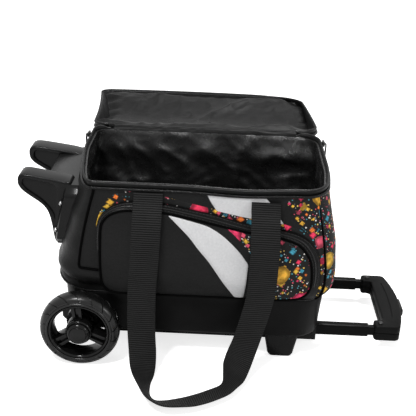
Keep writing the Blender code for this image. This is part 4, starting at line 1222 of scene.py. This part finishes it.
def lid_disc(name, z_at, inset, rings):
    """Sheet across the lid; z_at gives its height when shut from the point and its share of the way out."""
    rows = []
    for i in range(rings + 1):
        share = 1 - i / rings * DISC_REACH
        row = []
        for x, y, nx, ny in lid_stations:
            x, y = (x - nx * inset) * share, (y - ny * inset) * share
            spot = Vector((x, y, z_at(x, y, share)))
            row.append(open_lid(spot + lid_shift(*spot) * share ** 3))
        rows.append(row)
    made = grid(name, rows, wrap_col=True)
    lay_flat(made, lambda co: (co.x, co.y))
    return made


def lid_outer(x, y, share):
    edge = smooth((1 - share) / 0.035)
    return LID_TOP + 0.0012 + 0.0028 * edge + 0.0012 * edge * ripple((x, y, 0.3), 14.0, 20.0)


def lid_inner(x, y, share):
    """Loose lining: it climbs to the rim along both long sides and lies in slanting folds elsewhere."""
    climb = smooth((y + HALF_DEPTH) / 0.105) ** 0.8
    near = smooth((y - 0.030) / 0.080)
    deep = LID_EDGE + LID_DEPTH * mix(mix(0.16, 0.84, climb), 0.06, near)
    edge = smooth((1 - share) / 0.14)
    slant = (x * 0.8 + y * 0.6, y * 0.55 - x * 0.35, 0.0)
    folds = (0.0062 * crease(slant, 11.0, 31.0) ** 4
             + 0.0026 * crease((1.4 * x, y + 0.5 * x, 0.2), 21.0, 33.0) ** 4)
    folds += 0.0006 * crease((x + y, y - 0.4 * x, 0.7), 48.0, 34.0) ** 3
    sides = 0.0060 * smooth((abs(x) - 0.145) / 0.02) * crease((0.2 * x, y, 0.0), 60.0, 35.0) ** 2
    return deep - edge * (folds + 0.0020) - sides


def lid_path(z, inset):
    return [lid_point(lid_stations[c], z, inset) for c in ZIP_COLUMNS]


lid_rows = []
for i in range(LID_LEVELS + 1):
    z = mix(LID_EDGE + 0.003, LID_TOP, i / LID_LEVELS)
    lid_rows.append([lid_point(station, z) for station in lid_stations])
lid_band = thicken(grid("lid_band_cloth", lid_rows, wrap_col=True), LID_THICK)
dress(lid_band, CLOTH, "lid", "shell_cloth", "lid_band", sharp=60)
dress(lid_disc("lid_panel_cloth", lid_outer, 0.0, 34), CLOTH, "lid", "shell_cloth", "lid_panel", sharp=60)
# The lid lining takes the darker nylon: painted shade against the light it catches facing up
dress(lid_disc("lid_lining", lid_inner, 0.0026, 44), LID_NYLON_SHADED, "lid", "lining_nylon", sharp=60)
lid_seam = [lid_point(station, LID_TOP + 0.0008, -0.0006) for station in lid_stations]
dress(tube("lid_piping", lid_seam, LID_CORD, 8, True), PIPING, "lid", "shell_cloth")
lid_tape_rows = []
for c in ZIP_COLUMNS:
    x, y, nx, ny = lid_stations[c]
    ring = []
    for a, b in TAPE_PROFILE:
        z = LID_EDGE + TAPE_TOP - b
        ring.append(open_lid(Vector((x + nx * a, y + ny * a, z)) + lid_shift(x, y, z)))
    lid_tape_rows.append(ring)
zip_half("lid", "lid", lid_tape_rows, lid_path(LID_EDGE - 0.0002, 0.0002), "lid_binding")
zip_cord("lid_rim_piping", "lid", lid_path(LID_EDGE + 0.0086, -0.0014))

# Fold of cloth that joins rim and lid
FOLD_LEFT = -0.146
FOLD_RIGHT = 0.137
FOLD_STEPS = 120
FOLD_THICK = 0.0012
FOLD_HALF = ((0.1105, 0.2560), (0.1118, 0.2592), (0.1135, 0.2616), (0.1156, 0.2632), (0.1180, 0.2638))
FOLD_PROFILE = FOLD_HALF + tuple((2 * HINGE_Y - y, z) for y, z in FOLD_HALF[-2::-1])
fold_rows = []
for i in range(FOLD_STEPS + 1):
    x = mix(FOLD_LEFT, FOLD_RIGHT, i / FOLD_STEPS)
    row = []
    for y, z in FOLD_PROFILE:
        puff = 0.0014 * ripple((x, y, z), 34.0, 41.0) + 0.0024 * (crease((x, 0, 0), 46.0, 42.0) - 0.7)
        row.append(Vector((x, y, z + puff)))
    fold_rows.append(row)
fold = thicken(grid("hinge_fold", fold_rows), FOLD_THICK, 0.0)
dress(fold, VINYL, None, "shell_cloth", "hinge_web", "lid_web", sharp=60)
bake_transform(fold)

# Straps: each stop of a route is the middle of the webbing and the way across it
STRAP_WIDTH = 0.038
STRAP_THICK = 0.0020
STRAP_SPANS = 8
FLOOR_GAP = 0.0008
FRONT_ROUTE = (
    (-0.0690, -0.1168, 0.2530, 1, 0, 0), (-0.0690, -0.1205, 0.2430, 1, 0, 0),
    (-0.0695, -0.1320, 0.2240, 1, 0, 0), (-0.0705, -0.1395, 0.1980, 1, 0, 0),
    (-0.0725, -0.1405, 0.1600, 1, 0, 0), (-0.0755, -0.1400, 0.1150, 1, 0, 0),
    (-0.0756, -0.1436, 0.0620, 1, 0.02, -0.01), (-0.0732, -0.1520, 0.0320, 0.97, 0.17, -0.13),
    (-0.0714, -0.1640, 0.0165, 0.87, 0.38, -0.28), (-0.0690, -0.1795, 0.0108, 0.66, 0.58, -0.46),
    (-0.0655, -0.2000, 0.0116, 0.34, 0.75, -0.56), (-0.0590, -0.2220, 0.0122, 0.05, 0.83, -0.56),
    (-0.0480, -0.2335, 0.0113, -0.16, 0.84, -0.52), (-0.0350, -0.2348, 0.0100, -0.19, 0.87, -0.46),
    (-0.0160, -0.2298, 0.0086, -0.20, 0.90, -0.39), (0.0010, -0.2228, 0.0074, -0.20, 0.93, -0.32),
    (0.0210, -0.2110, 0.0066, -0.18, 0.94, -0.28), (0.0410, -0.1960, 0.0075, -0.22, 0.93, -0.26),
    (0.0482, -0.1800, 0.0120, -0.52, 0.84, 0.00), (0.0548, -0.1640, 0.0195, -0.82, 0.34, 0.40),
    (0.0616, -0.1515, 0.0340, -0.96, 0.06, 0.24), (0.0694, -0.1440, 0.0560, -1, 0, 0),
    (0.0785, -0.1410, 0.0920, -1, 0, 0), (0.0845, -0.1400, 0.1280, -1, 0, 0),
    (0.0860, -0.1395, 0.1850, -1, 0, 0), (0.0850, -0.1330, 0.2170, -1, 0, 0),
    (0.0845, -0.1215, 0.2360, -1, 0, 0), (0.0845, -0.1172, 0.2465, -1, 0, 0),
)
BACK_ROUTE = (
    (-0.0700, 0.1168, 0.2155, 1, 0, 0), (-0.0700, 0.1190, 0.2030, 1, 0, 0),
    (-0.0700, 0.1222, 0.1830, 1, 0, 0), (-0.0715, 0.1232, 0.1300, 1, 0, 0),
    (-0.0720, 0.1300, 0.0760, 1, -0.09, 0), (-0.0670, 0.1470, 0.0390, 0.90, -0.42, 0),
    (-0.0560, 0.1850, 0.0170, 0.50, -0.87, 0), (-0.0360, 0.2140, 0.0065, 0.10, -1, 0),
    (-0.0060, 0.2170, 0.0034, 0, -1, 0), (0.0230, 0.2090, 0.0065, -0.10, -1, 0),
    (0.0450, 0.1850, 0.0180, -0.50, -0.87, 0), (0.0570, 0.1540, 0.0420, -0.90, -0.42, 0),
    (0.0640, 0.1330, 0.0800, -1, -0.10, 0), (0.0750, 0.1235, 0.1300, -1, 0, 0),
    (0.0850, 0.1222, 0.1830, -1, 0, 0), (0.0850, 0.1190, 0.2030, -1, 0, 0),
    (0.0850, 0.1168, 0.2155, -1, 0, 0),
)
STRAP_FACE = (
    (-0.5, -0.30), (-0.485, -0.5), (-0.25, -0.5), (0.0, -0.5), (0.25, -0.5), (0.485, -0.5), (0.5, -0.30),
)
STRAP_SECTION = STRAP_FACE + tuple((-a, -b) for a, b in STRAP_FACE)


def strap(name, route, node_name, body):
    """Webbing along its route; each ring is lifted where it would go through the floor."""
    keys = route[:1] + route + route[-1:]
    states = []
    for stops in zip(keys, keys[1:], keys[2:], keys[3:]):
        for k in range(STRAP_SPANS):
            states.append([spline(*values, k / STRAP_SPANS) for values in zip(*stops)])
    states.append(route[-1])
    line = [Vector(state[:3]) for state in states]
    rows = []
    for i, centre in enumerate(line):
        along = (line[min(i + 1, len(line) - 1)] - line[max(i - 1, 0)]).normalized()
        across = Vector(states[i][3:]).normalized()
        up = along.cross(across).normalized()
        curl = 0.0007 * ripple(centre, 14.0, 51.0)
        ring = [centre + across * STRAP_WIDTH * a + up * (STRAP_THICK * b + curl * (4 * a * a - 0.4))
                for a, b in STRAP_SECTION]
        lift = max(0.0, FLOOR_GAP - min(p.z for p in ring))
        rows.append([p + UP * lift for p in ring])
    dress(ringed(name, rows), WEB, body, "webbing", node_name, sharp=50)


strap("strap_front_web", FRONT_ROUTE, "strap_front", "carry_front")
strap("strap_back_web", BACK_ROUTE, "strap_back", "carry_back")

# Wheels: each profile is (radius, way in from the wheel's middle plane)
WHEEL_X = -0.161
WHEEL_Y = 0.136
WHEEL_Z = 0.055
SIDEWALL = (
    (0.0420, -0.0128), (0.0424, -0.0142), (0.0434, -0.0149), (0.0446, -0.0149), (0.0455, -0.0142),
    (0.0459, -0.0134), (0.0466, -0.0137),
)
TREAD = (
    (0.0480, -0.0135), (0.0498, -0.0126), (0.0515, -0.0112), (0.0530, -0.0093), (0.0541, -0.0070),
    (0.0548, -0.0042), (0.0550, -0.0014),
)
TYRE_PROFILE = (SIDEWALL + TREAD + tuple((r, -w) for r, w in TREAD[::-1])
                + ((0.0450, 0.0140), (0.0420, 0.0128)))
TREAD_FROM = 0.0475
TREAD_SKEW = 0.9
TYRE_CORE = 0.0440
GROOVES = 18
GROOVE_DEEP = 0.0019
# Steps round one pitch of the tread, each with its depth: a groove, then a plain run
GROOVE_STEPS = (
    (-0.055, 0), (-0.036, 1), (0.036, 1), (0.055, 0), (0.2, 0), (0.35, 0), (0.5, 0), (0.65, 0), (0.8, 0),
)
BARREL = (
    (0.0417, -0.0126), (0.0410, -0.0136), (0.0396, -0.0137), (0.0384, -0.0128), (0.0374, -0.0100),
    (0.0366, -0.0050), (0.0363, 0.0), (0.0366, 0.0060), (0.0376, 0.0120), (0.0396, 0.0135),
    (0.0417, 0.0126), (0.0414, 0.0),
)
HUB = (
    (0.0092, -0.0105), (0.0150, -0.0110), (0.0176, -0.0104), (0.0182, -0.0090), (0.0182, 0.0),
    (0.0182, 0.0105), (0.0176, 0.0118), (0.0092, 0.0120),
)
HUB_CAP = (
    (0.0, -0.0224), (0.0050, -0.0222), (0.0092, -0.0215), (0.0112, -0.0209), (0.0117, -0.0202),
    (0.0123, -0.0206), (0.0140, -0.0197), (0.0153, -0.0182), (0.0160, -0.0164), (0.0164, -0.0146),
    (0.0172, -0.0141), (0.0180, -0.0132), (0.0182, -0.0120), (0.0180, -0.0108), (0.0, -0.0108),
)
SPOKES = 3
SPOKE_TURN = 95.0
SPOKE_IN = 0.0168
SPOKE_OUT = 0.0374
SPOKE_SPREAD = 1.18
RIB_HALF = 0.0021
RIB_APART = 0.0041
RIB_DEEP = 0.0098
WEB_DEEP = 0.0058
BOX_FACES = ((0, 1, 3, 2), (4, 6, 7, 5), (0, 4, 5, 1), (2, 3, 7, 6), (0, 2, 6, 4), (1, 5, 7, 3))


def spun(centre, side, radius, across, angle):
    return centre + Vector((radius * math.cos(angle), side * across, radius * math.sin(angle)))


def tyre(name, centre, side):
    rows = []
    for g in range(GROOVES):
        for share, deep in GROOVE_STEPS:
            row = []
            for radius, across in TYRE_PROFILE:
                angle = 2 * math.pi / GROOVES * (g + share) + TREAD_SKEW * across / radius
                if deep and radius > TREAD_FROM:
                    way = Vector((radius - TYRE_CORE, across)).normalized() * GROOVE_DEEP
                    radius, across = radius - way.x, across - way.y
                row.append(spun(centre, side, radius, across, angle))
            rows.append(row)
    return face_out(grid(name, rows, wrap_row=True, wrap_col=True))


def turned(name, centre, side, profile, steps):
    """Ring or cap turned about the wheel's axle."""
    rows = [[spun(centre, side, r, w, a) for r, w in profile] for a in turns(steps)]
    return face_out(grid(name, rows, wrap_row=True, wrap_col=profile[0][0] > 0.001), weld=True)


def spoke(name, centre, side, angle):
    """Two ribs with a thinner web between them."""
    bm = bmesh.new()
    way = Vector((-math.sin(angle), 0, math.cos(angle)))
    for shift, half, deep in ((-RIB_APART, RIB_HALF, RIB_DEEP), (RIB_APART, RIB_HALF, RIB_DEEP),
                              (0.0, RIB_APART, WEB_DEEP)):
        verts = []
        for r, spread in ((SPOKE_IN, 1.0), (SPOKE_OUT, SPOKE_SPREAD)):
            for w in (-deep, deep):
                for t in (-half, half):
                    corner = spun(centre, side, r, w, angle) + way * ((shift + t) * spread)
                    verts.append(bm.verts.new(corner))
        for face in BOX_FACES:
            bm.faces.new([verts[i] for i in face])
    return soften(from_bmesh(name, bm), 0.0009, 2)


for end, side in (("front", 1), ("back", -1)):
    centre = Vector((WHEEL_X, -side * WHEEL_Y, WHEEL_Z))
    body = "wheel_" + end
    dress(tyre("tyre_tread_" + end, centre, side), RUBBER, body, "tyre_rubber", "tyre_" + end, sharp=40)
    parts = [turned("barrel", centre, side, BARREL, 96), turned("hub", centre, side, HUB, 48)]
    for k in range(SPOKES):
        parts.append(spoke("spoke", centre, side, math.radians(SPOKE_TURN + 360 / SPOKES * k)))
    dress(merge("wheel_rim_" + end, parts), GLOSS, body, "wheel_plastic", "rim_" + end, sharp=35)
    cap = turned("wheel_cap_" + end, centre, side, HUB_CAP, 48)
    dress(cap, GLOSS, body, "wheel_plastic", "hub_cap_" + end, sharp=35)

# Tip stand: a moulded plate with two hooked fins
FIN_Y = 0.061
FIN_HALF = 0.0155
FIN_RAISED = 0.0025
FAR_FIN_Y = 0.054
FAR_FIN_REACH = 1.22
FAR_FIN_DROP = 0.005
STAND_HALF = 0.086
STAND_TOP = 0.242
STAND_LOW = 0.153
STAND_LEVELS = 30
STAND_ACROSS = 48
PLATE_THICK = 0.005
PLATE_DRAW = 0.010
SADDLE = 0.034
FIN_LINE = (
    (-0.1965, 0.1535), (-0.2000, 0.1530), (-0.2035, 0.1560), (-0.2050, 0.1650), (-0.2062, 0.1780),
    (-0.2078, 0.1900), (-0.2105, 0.1995), (-0.2155, 0.2075), (-0.2225, 0.2140), (-0.2310, 0.2200),
    (-0.2400, 0.2265), (-0.2465, 0.2325), (-0.2503, 0.2385), (-0.2508, 0.2440), (-0.2488, 0.2495),
    (-0.2435, 0.2520), (-0.2350, 0.2515), (-0.2250, 0.2500), (-0.2150, 0.2484), (-0.2050, 0.2468),
    (-0.1960, 0.2452), (-0.1860, 0.2435), (-0.1780, 0.2420), (-0.1790, 0.2330), (-0.1880, 0.1900),
)
FIN_SUNK = (
    (-0.2020, 0.1900), (-0.2045, 0.1985), (-0.2100, 0.2075), (-0.2180, 0.2165), (-0.2270, 0.2235),
    (-0.2360, 0.2300), (-0.2425, 0.2360), (-0.2445, 0.2410), (-0.2420, 0.2452), (-0.2350, 0.2462),
    (-0.2250, 0.2447), (-0.2150, 0.2430), (-0.2070, 0.2416), (-0.2010, 0.2400), (-0.1985, 0.2360),
    (-0.1985, 0.2150),
)
FIN_STATIONS = 72
# From the sunk floor of a flank out to the slab's edge: share of the way to the sunk outline, and depth
FIN_FLANK = (
    (1.0, 0.0036), (1.0, 0.0012), (0.88, 0.0003), (0.42, 0.0), (0.18, 0.0004), (0.06, 0.0014),
    (0.0, 0.0032),
)


def fin(y, reach, lift, drop):
    """Moulded fin: a rounded slab whose flanks are sunk inside a rim."""
    root = FIN_LINE[0][0]
    lines = []
    for line in (FIN_LINE, FIN_SUNK):
        bent = []
        for x, z in line:
            high = smooth((z - 0.236) / 0.010)
            under = drop * smooth((z - 0.190) / 0.030) * (1 - high)
            bent.append((mix(root, x, reach) if x < root else x, z + lift * high - under))
        lines.append(through(bent, FIN_STATIONS))
    rows = []
    for side in (-1, 1):
        rings = []
        for share, deep in FIN_FLANK:
            off = Vector((0, y + side * (FIN_HALF - deep), 0))
            rings.append([p.lerp(q, share) + off for p, q in zip(*lines)])
        rows += rings if side < 0 else rings[::-1]
    return ringed("fin", rows)


def stand_plate():
    """Thick plate between the fins: its back lies on the cloth, and it swells into a saddle at the top."""
    rows = []
    for i in range(STAND_LEVELS + 1):
        z = mix(STAND_LOW, STAND_TOP, i / STAND_LEVELS)
        end = min(z - STAND_LOW, STAND_TOP - z)
        half = STAND_HALF - PLATE_DRAW * (1 - smooth(end / 0.014))
        front, back = [], []
        for k in range(STAND_ACROSS + 1):
            y = mix(-half, half, k / STAND_ACROSS)
            bulge = PLATE_THICK * (0.35 + 0.65 * smooth(min(half - abs(y), end) / 0.005))
            saddle = SADDLE * smooth((z - 0.204) / 0.034) * smooth((FIN_Y + 0.016 - abs(y)) / 0.024)
            front.append(Vector((left_x(z) - 0.0004 - bulge - saddle, y, z)))
            back.append(Vector((left_x(z) + 0.9 * end_in(y, z) + corner_in(y, z) - 0.0006, y, z)))
        rows.append(front + back[::-1])
    return ringed("plate", rows)


stand = merge("tip_stand_moulding", [fin(-FIN_Y, 1.0, FIN_RAISED, 0.0),
                                     fin(FAR_FIN_Y, FAR_FIN_REACH, 0.0, FAR_FIN_DROP), stand_plate()])
dress(stand, PLASTIC, "bag", "moulded_plastic", "tip_stand", sharp=50)

# Pull grip: two shells with a groove along the top, and the button
GRIP_X = 0.256
BAR_OUT = 0.292
BAR_IN = 0.270
GRIP_BOW = 0.012
GRIP_HALF = 0.077
GRIP_INNER = 0.057
GRIP_LOW = 0.016
GRIP_MIDDLE = 0.028
GRIP_TOP = 0.040
BOW_STEPS = 24
BEND_STEPS = 6
GROOVE_REACH = 0.050
GROOVE_RADIUS = 0.0013
GROOVE_POINTS = 40


def rounded(corners):
    """Outline with its corners rounded; each corner is (x, y, radius)."""
    out = []
    n = len(corners)
    for i, (x, y, radius) in enumerate(corners):
        here = Vector((x, y, 0))
        if radius == 0:
            out.append(here)
            continue
        before = (Vector(corners[i - 1][:2] + (0,)) - here).normalized()
        after = (Vector(corners[(i + 1) % n][:2] + (0,)) - here).normalized()
        half = before.angle(after) / 2
        reach = radius / math.tan(half)
        centre = here + (before + after).normalized() * (radius / math.sin(half))
        a, b = here + before * reach - centre, here + after * reach - centre
        for k in range(BEND_STEPS + 1):
            out.append(centre + a.slerp(b, k / BEND_STEPS).normalized() * radius)
    return out


def grip_shell(name, z_flat, z_round):
    corners = [(GRIP_X, -GRIP_HALF, 0.0055), (BAR_OUT, -GRIP_HALF, 0.008)]
    for i in range(-BOW_STEPS, BOW_STEPS + 1):
        share = 0.86 * i / BOW_STEPS
        corners.append((BAR_OUT + GRIP_BOW * (1 - share ** 2), GRIP_HALF * share, 0.0))
    corners += [(BAR_OUT, GRIP_HALF, 0.008), (GRIP_X, GRIP_HALF, 0.0055), (GRIP_X, GRIP_INNER, 0.0045),
                (BAR_IN, GRIP_INNER, 0.006), (BAR_IN, -GRIP_INNER, 0.006), (GRIP_X, -GRIP_INNER, 0.0045)]
    line = [Vector((p.x, p.y, z_flat)) for p in rounded(corners)]
    return soften(prism(name, line, UP * (z_round - z_flat)), 0.0026, 3, 50.0)


groove = []
for i in range(GROOVE_POINTS + 1):
    share = -1 + 2 * i / GROOVE_POINTS
    groove.append(Vector((mix(BAR_IN, BAR_OUT, 0.5) + 0.55 * GRIP_BOW * (1 - (0.65 * share) ** 2),
                          GROOVE_REACH * share, GRIP_TOP + 0.0003)))
upper = cut(grip_shell("grip_upper", GRIP_MIDDLE, GRIP_TOP), tube("groove", groove, GROOVE_RADIUS, 8))
dress(upper, GRIP, "handle_top", "moulded_plastic", "grip_top", sharp=30)
lower = grip_shell("grip_lower", GRIP_MIDDLE, GRIP_LOW)
dress(lower, GRIP, "handle_top", "moulded_plastic", "grip_bottom", sharp=30)

# Return spring behind the button, drawn at one length; the real one shortens as the button goes in
SPRING_IN = 0.2773
SPRING_OUT = 0.2853
SPRING_RADIUS = 0.0028
SPRING_WIRE = 0.0005
SPRING_TURNS = 6
SPRING_STEPS = 16
SPRING_Z = 0.028
spring_line = []
for i in range(SPRING_TURNS * SPRING_STEPS + 1):
    a = 2 * math.pi * i / SPRING_STEPS
    x = mix(SPRING_IN + SPRING_WIRE, SPRING_OUT - SPRING_WIRE, i / (SPRING_TURNS * SPRING_STEPS))
    spring_line.append(Vector((x, SPRING_RADIUS * math.cos(a), SPRING_Z + SPRING_RADIUS * math.sin(a))))
spring = tube("button_coil", spring_line, SPRING_WIRE, 6)
dress(spring, STEEL, "handle_top", "zinc_steel", "button_spring")
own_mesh(spring)

BUTTON_LOW = Vector((0.2870, -0.0170, 0.0220))
BUTTON_HIGH = Vector((0.3090, 0.0170, 0.0340))
button = soften(block("button_pad", BUTTON_LOW, BUTTON_HIGH), 0.0028, 4)
dress(button, GLOSS, "release", "moulded_plastic", "release_button", sharp=35)

# Zip sliders and their pulls
SLIDER_HALF = (0.0060, 0.0040, 0.0019)
SLIDER_RINGS = (
    (-1.0, 0.62, 0.5), (-0.9, 0.9, 0.9), (-0.55, 1.0, 1.0), (0.0, 0.80, 1.0), (0.55, 1.0, 1.0),
    (0.9, 0.9, 0.9), (1.0, 0.62, 0.5),
)
SLIDER_SECTION = ((-1, -1), (1, -1), (1, 0.55), (0.7, 1), (-0.7, 1), (-1, 0.55))
RIM_SLIDER_X = 0.1776
POCKET_SLOPE = Vector((0.021, 0, -0.0075)).normalized()
POCKET_SLIDER_IN = 0.0022
BRIDGE_WIRE = 0.0008
BRIDGE_HALF = 0.0042
BRIDGE_FOOT = 0.0012
BRIDGE_RISE = 0.0024
TAB_HALF = 0.0035
# Rings of a pull tab from its back to the floor inside its raised rim: inset and height
TAB_RINGS = ((0.0, -0.0008), (0.0, 0.0008), (0.0011, 0.0008), (0.0013, 0.0004), (0.0022, 0.0004))
HALF_TURN = [math.pi * i / 12 for i in range(13)]


def node_box(name):
    """Corners of a solid's box, from the middle of the bag."""
    return [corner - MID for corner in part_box(name)]


def slider(name, centre, along, out):
    """Die-cast slider: a waisted body on the coil and a bridge for the pull."""
    across = along.cross(out).normalized()
    length, width, height = SLIDER_HALF
    rows = []
    for share, wide, high in SLIDER_RINGS:
        rows.append([centre + along * length * share + across * width * wide * a + out * height * high * b
                     for a, b in SLIDER_SECTION])
    arch = [centre + along * BRIDGE_HALF * math.cos(a) + out * (BRIDGE_FOOT + BRIDGE_RISE * math.sin(a))
            for a in HALF_TURN]
    return merge(name, [ringed(name, rows), tube(name + "_bridge", arch, BRIDGE_WIRE, 8)])


def pull_tab(name, top, wide, out, length):
    """Flat tab that hangs down, with rounded ends and a raised rim."""
    half = TAB_HALF
    edge = [(half * math.cos(a), -half * math.sin(a) + half) for a in HALF_TURN]
    edge += [(-half * 0.8 * math.cos(a), length - half + half * math.sin(a)) for a in HALF_TURN]
    rows = []
    for inset, lift in TAB_RINGS:
        rows.append([top + wide * w * (1 - inset / half) - UP * mix(length / 2, d, 1 - inset / (length / 2))
                     + out * lift for w, d in edge])
    return ringed(name, rows)


for end, side, lean in (("left", -1, 0), ("right", 1, RIGHT_LEAN)):
    out = Vector((side, 0, 0))
    low, high = node_box("zip_slider_" + end)
    centre = (low + high) / 2
    centre.x = side * RIM_SLIDER_X - lean
    dress(slider("rim_slider_" + end, centre, -FRONT, out), DARK_METAL, "zip_" + end, "zinc_steel",
          "zip_slider_" + end)
    low, high = node_box("zip_pull_" + end)
    top = Vector(((low.x + high.x) / 2 - lean, (low.y + high.y) / 2, high.z))
    tab = pull_tab("rim_pull_" + end, top, -FRONT, out, high.z - low.z)
    dress(tab, DARK_METAL, "pull_" + end, "zinc_steel", "zip_pull_" + end)

low, high = node_box("pocket_slider")
middle = (low + high) / 2
middle.y = low.y + POCKET_SLIDER_IN
pocket_slide = slider("pocket_zip_slider", middle, POCKET_SLOPE, FRONT)
dress(pocket_slide, DARK_METAL, "pocket_zip_slider", "zinc_steel", "pocket_slider")

# Ball cup: a foam ring with a cover
CUP_X = -0.079
CUP_STEPS = 120
CUP_CREASE = 0.0010
CUP_PROFILE = (
    (0.045, 0.0505), (0.0455, 0.056), (0.048, 0.0605), (0.054, 0.0660), (0.064, 0.0725), (0.074, 0.0768),
    (0.081, 0.0776), (0.0855, 0.0755), (0.0878, 0.0700), (0.0880, 0.0600), (0.0872, 0.0520),
    (0.0840, 0.0505),
)
cup_rows = []
for a in turns(CUP_STEPS):
    row = [Vector((CUP_X + r * math.cos(a), r * math.sin(a), z)) for r, z in CUP_PROFILE]
    for p, (r, z) in zip(row, CUP_PROFILE):
        p.z -= CUP_CREASE * crease(p, 26.0, 60.0) ** 2 * smooth((z - 0.055) / 0.01)
    cup_rows.append(row)
cup = face_out(grid("cup_cover", cup_rows, wrap_row=True, wrap_col=True))
dress(cup, LINING, "bag", "cup_foam", "ball_cup")

# Feet: tapered pads with rounded corners
FOOT_SHOULDER = 0.010
FOOT_BEND = 0.006
for end in ("front", "back"):
    low, high = node_box("foot_" + end)
    middle = (low.x + high.x) / 2
    half = (high.x - low.x) / 2
    flank = ((-1.0, high.z), (-0.97, high.z - FOOT_SHOULDER), (-0.76, low.z + FOOT_BEND), (-0.62, low.z))
    side_line = flank + tuple((-share, z) for share, z in flank[::-1])
    line = [Vector((middle + half * share, low.y, z)) for share, z in side_line]
    pad = soften(prism("foot_pad_" + end, line, Vector((0, high.y - low.y, 0))), 0.0045, 4)
    dress(pad, PLASTIC, "bag", "moulded_plastic", "foot_" + end, sharp=35)

# Solids that show as they are
SIDES = ("_front", "_back")
SCREWS = ("_1", "_2", "_3", "_4")
for finish, ends, stems in (
        (PAINT, SIDES, ("middle_tube", "inner_tube", "outer_tube")),
        (PLASTIC, SIDES, ("wheel_bracket", "bush")),
        (PLASTIC, ("",), ("rail_housing", "rail_bezel")),
        (STEEL, SIDES, ("axle", "push_rod", "lock_pin")),
        (STEEL, SCREWS, ("stand_screw",)),
        (DARK_METAL, SIDES, ("grip_screw",)),
        (BOARD, ("",), ("base_board",))):
    for name in [stem + end for stem in stems for end in ends]:
        solid = frame["nodes"][name]
        solid.data.materials.clear()
        solid.data.materials.append(finish)

# Camera at the photograph's viewing angle, with its focal length in pixels of the frame
TURN = math.radians(-1.16)
TILT = math.radians(24.58)
ROLL = math.radians(2.01)
FOCAL = 788.1
FRAME = 416
SENSOR = 36.0
EYE = Vector((0.0279, -1.0496, 0.662))
ahead = Vector((math.sin(TURN) * math.cos(TILT), math.cos(TURN) * math.cos(TILT), -math.sin(TILT)))
level = Vector((math.cos(TURN), -math.sin(TURN), 0))
below = ahead.cross(level)
right = math.cos(ROLL) * level - math.sin(ROLL) * below
down = math.sin(ROLL) * level + math.cos(ROLL) * below
camera_data = bpy.data.cameras.new("camera")
camera_data.sensor_width = SENSOR
camera_data.lens = FOCAL / FRAME * SENSOR
camera = to_object("camera", camera_data)
camera.matrix_world = Matrix.LocRotScale(EYE + MID, Matrix((right, -down, -ahead)).transposed(), None)
bpy.context.scene.camera = camera

# Lamps: place, aim, size and watts
for name, place, aim, size, watts in (
        ("key", (-0.55, -0.95, 1.75), (0, 0, 0.1), (0.32, 0.28), 27),
        ("top", (0.25, 0.45, 1.9), (0, 0.1, 0.1), (0.45, 0.35), 27),
        ("fill", (1.5, -0.9, 0.9), (0, 0, 0.15), (0.4, 0.4), 7)):
    data = bpy.data.lights.new(name, "AREA")
    data.shape = "RECTANGLE"
    data.size, data.size_y = size
    data.energy = watts
    lamp = to_object(name, data)
    lamp.location = place
    lamp.rotation_euler = (Vector(aim) - Vector(place)).to_track_quat("-Z", "Y").to_euler()

# World: soft light, and plain white where it is seen or mirrored
WHITE = grey(1.0)
WORLD_LIGHT = 0.28
world = bpy.data.worlds.new("studio")
bpy.context.scene.world = world
world.use_nodes = True
tree = world.node_tree
tree.nodes.clear()
rays = node(tree, "LightPath").outputs
mirrored = reckon(tree, "MAXIMUM", rays["Is Glossy Ray"], rays["Is Transmission Ray"])
seen = reckon(tree, "MAXIMUM", rays["Is Camera Ray"], mirrored)
soft = node(tree, "Background", {"Color": WHITE, "Strength": WORLD_LIGHT})
white = node(tree, "Background", {"Color": WHITE, "Strength": 1.0})
both = node(tree, "MixShader", {0: seen, 1: soft.outputs[0], 2: white.outputs[0]})
node(tree, "OutputWorld", {"Surface": both.outputs[0]})

# Floor: pale and plain, white to the camera away from the shadow
FLOOR_CORNERS = ((-6, -6, 0), (6, -6, 0), (6, 6, 0), (-6, 6, 0))
FLOOR_TONE = 0.86
FLOOR_GLOW = 0.76
floor_mesh = bpy.data.meshes.new("floor")
floor_mesh.from_pydata(FLOOR_CORNERS, [], [(0, 1, 2, 3)])
floor = to_object("floor", floor_mesh)
floor_mat, tree, bsdf = start_material("floor", Base_Color=grey(FLOOR_TONE), Roughness=0.9,
                                       Specular_IOR_Level=0.0)
glow = node(tree, "Emission", {"Color": WHITE, "Strength": FLOOR_GLOW})
lit = node(tree, "AddShader", {0: bsdf.outputs[0], 1: glow.outputs[0]})
pick = node(tree, "MixShader", {0: node(tree, "LightPath").outputs["Is Camera Ray"], 1: bsdf.outputs[0],
                                2: lit.outputs[0]})
tree.links.new(pick.outputs[0], tree.nodes["Material Output"].inputs["Surface"])
floor_mesh.materials.append(floor_mat)

bpy.context.scene.view_settings.view_transform = "Standard"

bpy.context.view_layer.update()
